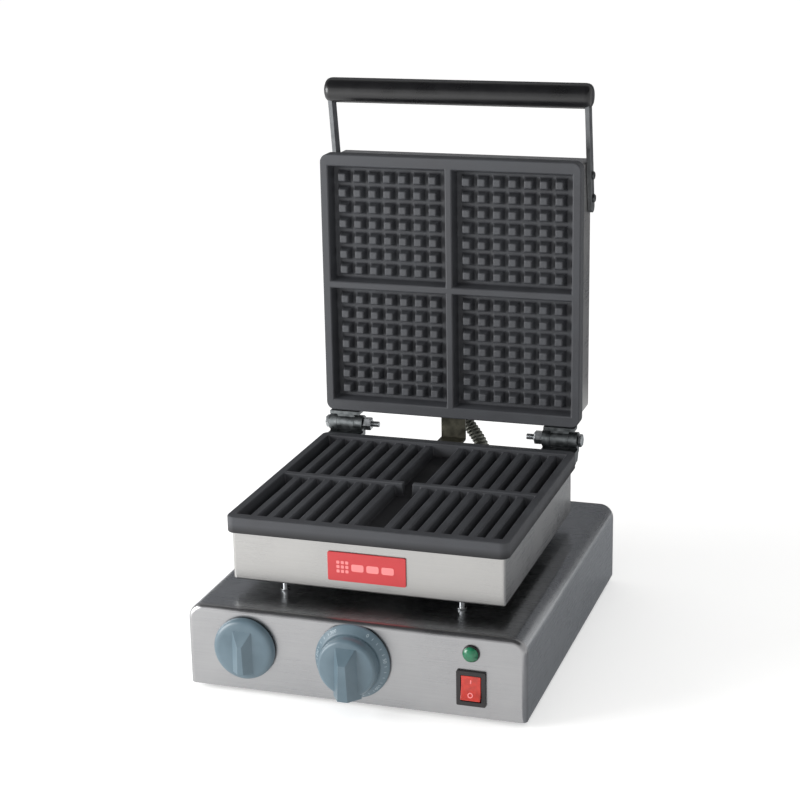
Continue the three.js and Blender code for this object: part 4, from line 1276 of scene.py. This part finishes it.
def make_arm_screws():
    """Two screws through each arm into the lid's tray, their heads just off the arm."""
    clear = 0.2
    left_arm, right_arm = corners("handle_arm_left")[0].x, corners("handle_arm_right")[1].x
    for side, turn, x in (("left", FACE_LEFT, left_arm - clear),
                          ("right", FACE_RIGHT, right_arm + clear)):
        for place in ("low", "high"):
            node = f"arm_screw_{side}_{place}"
            at = middle(node)
            screw = put(make_screw(4, 2.3, 2, 11), turn, (x, at.y, at.z))
            finish(screw, f"arm_bolt_{side}_{place}", ARM_BOLT_STEEL, "lid",
                   [node])


def make_grip():
    """A round bar across both arms, its ends rounded and slotted underneath for the arms."""
    low, high = corners("handle_grip")
    half = (high.x - low.x) / 2
    r = (high.z - low.z) / 2
    centre = (low + high) / 2
    # Radii of the rounded end, each with its distance in from the end.
    end = [(5.75, 0), (7.6, 0.25), (9.2, 1), (10.5, 2.2), (11.3, 3.9), (r, 6.4)]
    profile = [[radius, inset - half] for radius, inset in end]
    profile += [[radius, half - inset] for radius, inset in reversed(end)]
    bar = put(turned(profile, 96), FACE_RIGHT, centre)
    for side in ("left", "right"):
        arm_low, arm_high = corners("handle_arm_" + side)
        slot = block((arm_low.x - 0.4, centre.y - 6.6, low.z - 3),
                     (arm_high.x + 0.4, centre.y + 6.6, centre.z + 4.8))
        cut(bar, slot)
    return finish(bar, "grip_bar", BAKELITE, "lid", ["handle_grip"])


# ---------------------------------------------------------------- conduit
def make_fitting(node, name, turn, body):
    """A hexagonal union with a round collar, bored for the conduit."""
    low, high = corners(node)
    centre = (low + high) / 2
    collar = 7
    seat = low.z + collar if body == "base" else high.z - collar
    fitting = weld(hexagon(21, 0.3, 9), rod(8, -collar, 1, 48))
    cut(fitting, rod(7.3, -9, 12, 48))
    ease(fitting, 0.3)
    put(fitting, turn, (centre.x, centre.y, seat))
    return finish(fitting, name, HINGE_STEEL, body, [node])


def make_conduit():
    """Flexible conduit wound from galvanised strip: a ribbed tube, led along its route.
    """
    low, high = corners("conduit")
    foot = middle("conduit_lower_fitting")
    head = middle("conduit_upper_fitting")
    # Points along the route, from the base's union up to the lid's.
    route = [(foot.x, foot.y, low.z), (foot.x, foot.y, 88), (foot.x, foot.y, 103),
             (foot.x - 0.5, foot.y + 1, 118), (foot.x - 9, (foot.y + head.y) / 2, 137),
             (head.x + 8, head.y - 1, 150), (head.x, head.y, 160), (head.x, head.y, 168),
             (head.x, head.y, high.z)]
    length = sum((Vector(b) - Vector(a)).length for a, b in zip(route, route[1:]))
    rib = 3.4
    wide, narrow = 6.5, 5.7
    count = int(length / rib)
    profile = [[narrow, 0]]
    for turn in range(count):
        base = turn * rib
        profile += [[narrow, base + 0.5], [wide - 0.15, base + 1.0], [wide, base + 1.5],
                    [wide, base + 2.3], [wide - 0.15, base + 2.8], [narrow, base + 3.3]]
    tube = turned(profile, 32)
    put(tube, FACE_RIGHT, (0, 0, 0))
    choose(None)
    bpy.ops.curve.primitive_nurbs_path_add()
    line = bpy.context.object
    spline = line.data.splines[0]
    spline.points.add(len(route) - len(spline.points))
    for point, place in zip(spline.points, route):
        point.co = (*[value * MM for value in place], 1)
    spline.order_u = 3
    spline.use_endpoint_u = True
    line.data.dimensions = "3D"
    line.data.resolution_u = 16
    led = tube.modifiers.new("along the route", "CURVE")
    led.object = line
    led.deform_axis = "POS_X"
    apply(tube, led)
    bpy.data.objects.remove(line)
    choose(tube)
    bpy.ops.object.shade_smooth_by_angle(angle=math.radians(50))
    tube.name = tube.data.name = "ribbed_conduit"
    tube.data.materials.append(CONDUIT_STEEL)
    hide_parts("conduit")
    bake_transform(tube)
    return tube


def make_gland():
    """The supply cord's gland: a hexagon against the panel and a ribbed dome nut."""
    low, high = corners("gland_body")
    centre = (low + high) / 2
    panel = corners("rear_panel")[1].y
    reach = high.y - panel
    collar = 8.6
    dome = turned([[collar, 6.5], [collar, 12.2], [8.2, 13.4], [6.6, reach], [5, reach]], 48)
    body = weld(hexagon(20, 0.3, 7), dome, rod(8, -8, 1, 48))
    ribs = []
    for step in range(16):
        angle = step * math.pi / 8
        at = (collar * math.cos(angle), collar * math.sin(angle), 0)
        ribs.append(put(rod(0.55, 7.6, 12, 12), FACE_UP, at))
    weld(body, gathered(ribs))
    cut(body, rod(4, -9, reach + 1, 32))
    put(body, FACE_BACK, (centre.x, panel, centre.z))
    return finish(body, "cord_gland", NYLON, "base", ["gland_body"])


# ---------------------------------------------------------------- the whole object
make_base_cover()
make_front_panel()
make_rear_panel()
make_rear_screws()
make_feet()
make_posts()
make_stud_plate()
make_bar_plate()
make_lower_housing()
make_upper_housing()
make_badge()
make_timer_knob()
make_thermostat_dial()
make_thermostat_knob()
make_lamp()
make_switch()
make_lower_hinges()
make_upper_hinges()
make_hinge_bolts()
make_stop_bracket()
make_arms()
make_arm_screws()
make_grip()
make_fitting("conduit_lower_fitting", "conduit_union_base", FACE_UP, "base")
make_fitting("conduit_upper_fitting", "conduit_union_lid", FACE_DOWN, "lid")
make_conduit()
make_gland()

# The frame's pieces that show as they are, or lie inside.
INNER = {
    STAINLESS: ["bottom_plate"],
    CERAMIC: ["timer_body", "thermostat_body", "terminal_block"],
    HINGE_STEEL: ["timer_shaft", "thermostat_shaft", "thermostat_bulb", "lower_clamp_bar",
                  "upper_clamp_bar"],
    NYLON: ["gland_nut"],
    SHEATH: ["lower_element", "upper_element"],
    WOOL: ["lower_insulation", "upper_insulation"],
}
for inner_material, nodes in INNER.items():
    for node in nodes:
        part = frame["nodes"][node]
        part.data.materials.clear()
        part.data.materials.append(inner_material)


# ---------------------------------------------------------------- studio
# Lengths here are metres, apart from the flags' corners.
FLOOR_SIZE = 60
FLOOR_GLOW = 0.35
SKY_STRENGTH = 0.72
KEY_PLACE = (-1.4, -0.9, 0.5)
KEY_TARGET = (0, 0, 0.25)
KEY_SIZE = (1.0, 0.9)
KEY_POWER = 30
CAMERA_PLACE = (0.50635, -1.5565, 0.71409)
CAMERA_ANGLES = (18.288, 16.655, -1.077)
FOCAL_LENGTH = 86.4
SENSOR_WIDTH = 36


def soft_box(name, place, target, size, power):
    """A rectangular area lamp at a place, facing a target."""
    lamp = bpy.data.lights.new(name, "AREA")
    lamp.shape = "RECTANGLE"
    lamp.size, lamp.size_y = size
    lamp.energy = power
    holder = bpy.data.objects.new(name, lamp)
    bpy.context.scene.collection.objects.link(holder)
    holder.location = place
    way = Vector(target) - Vector(place)
    holder.rotation_euler = way.to_track_quat("-Z", "Y").to_euler()


def dark_card(name, low, high, tone):
    """A felt flag that only shows in reflections, between two corners in millimetres."""
    card = block(low, high)
    card.name = name
    felt, tree, surface = new_material("felt_" + name)
    set_surface(tree, surface, {"Base Color": ink(tone), "Roughness": 1.0})
    card.data.materials.append(felt)
    card.visible_camera = False
    card.visible_diffuse = False
    card.visible_shadow = False
    card.visible_transmission = False


def make_studio():
    """White paper floor, white surroundings, one lamp from the left and three dark flags."""
    choose(None)
    bpy.ops.mesh.primitive_plane_add(size=FLOOR_SIZE)
    floor = bpy.context.object
    floor.name = "floor"
    paper, tree, surface = new_material("white_paper")
    set_surface(tree, surface, {"Base Color": ink("#f6f6f5"), "Roughness": 0.9,
                                "Emission Color": ink("#ffffff"),
                                "Emission Strength": FLOOR_GLOW})
    floor.data.materials.append(paper)
    scene = bpy.context.scene
    scene.view_settings.view_transform = "Standard"
    world = bpy.data.worlds.new("studio")
    scene.world = world
    world.use_nodes = True
    sky = world.node_tree.nodes["Background"]
    sky.inputs["Color"].default_value = (1, 1, 1, 1)
    sky.inputs["Strength"].default_value = SKY_STRENGTH
    soft_box("key", KEY_PLACE, KEY_TARGET, KEY_SIZE, KEY_POWER)
    dark_card("rear_flag", (-1100, 700, 20), (500, 720, 1100), "#66676a")
    dark_card("side_flag", (151, -260, 2), (500, 700, 3), "#b4b7bb")
    dark_card("top_flag", (-1500, -2300, 1400), (1500, 500, 1410), "#3a3a3c")


def make_camera():
    """The camera, by its place, its azimuth and elevation about the object, and its roll."""
    optics = bpy.data.cameras.new("camera")
    optics.lens = FOCAL_LENGTH
    optics.sensor_width = SENSOR_WIDTH
    camera = bpy.data.objects.new("camera", optics)
    bpy.context.scene.collection.objects.link(camera)
    azimuth, elevation, roll = (math.radians(angle) for angle in CAMERA_ANGLES)
    back = Vector((math.sin(azimuth) * math.cos(elevation),
                   -math.cos(azimuth) * math.cos(elevation), math.sin(elevation)))
    level = Vector((math.cos(azimuth), math.sin(azimuth), 0))
    upright = back.cross(level)
    right = math.cos(roll) * level + math.sin(roll) * upright
    up = math.cos(roll) * upright - math.sin(roll) * level
    stance = Matrix((right, up, back)).transposed().to_4x4()
    stance.translation = Vector(CAMERA_PLACE)
    camera.matrix_world = stance
    bpy.context.scene.camera = camera


make_studio()
make_camera()
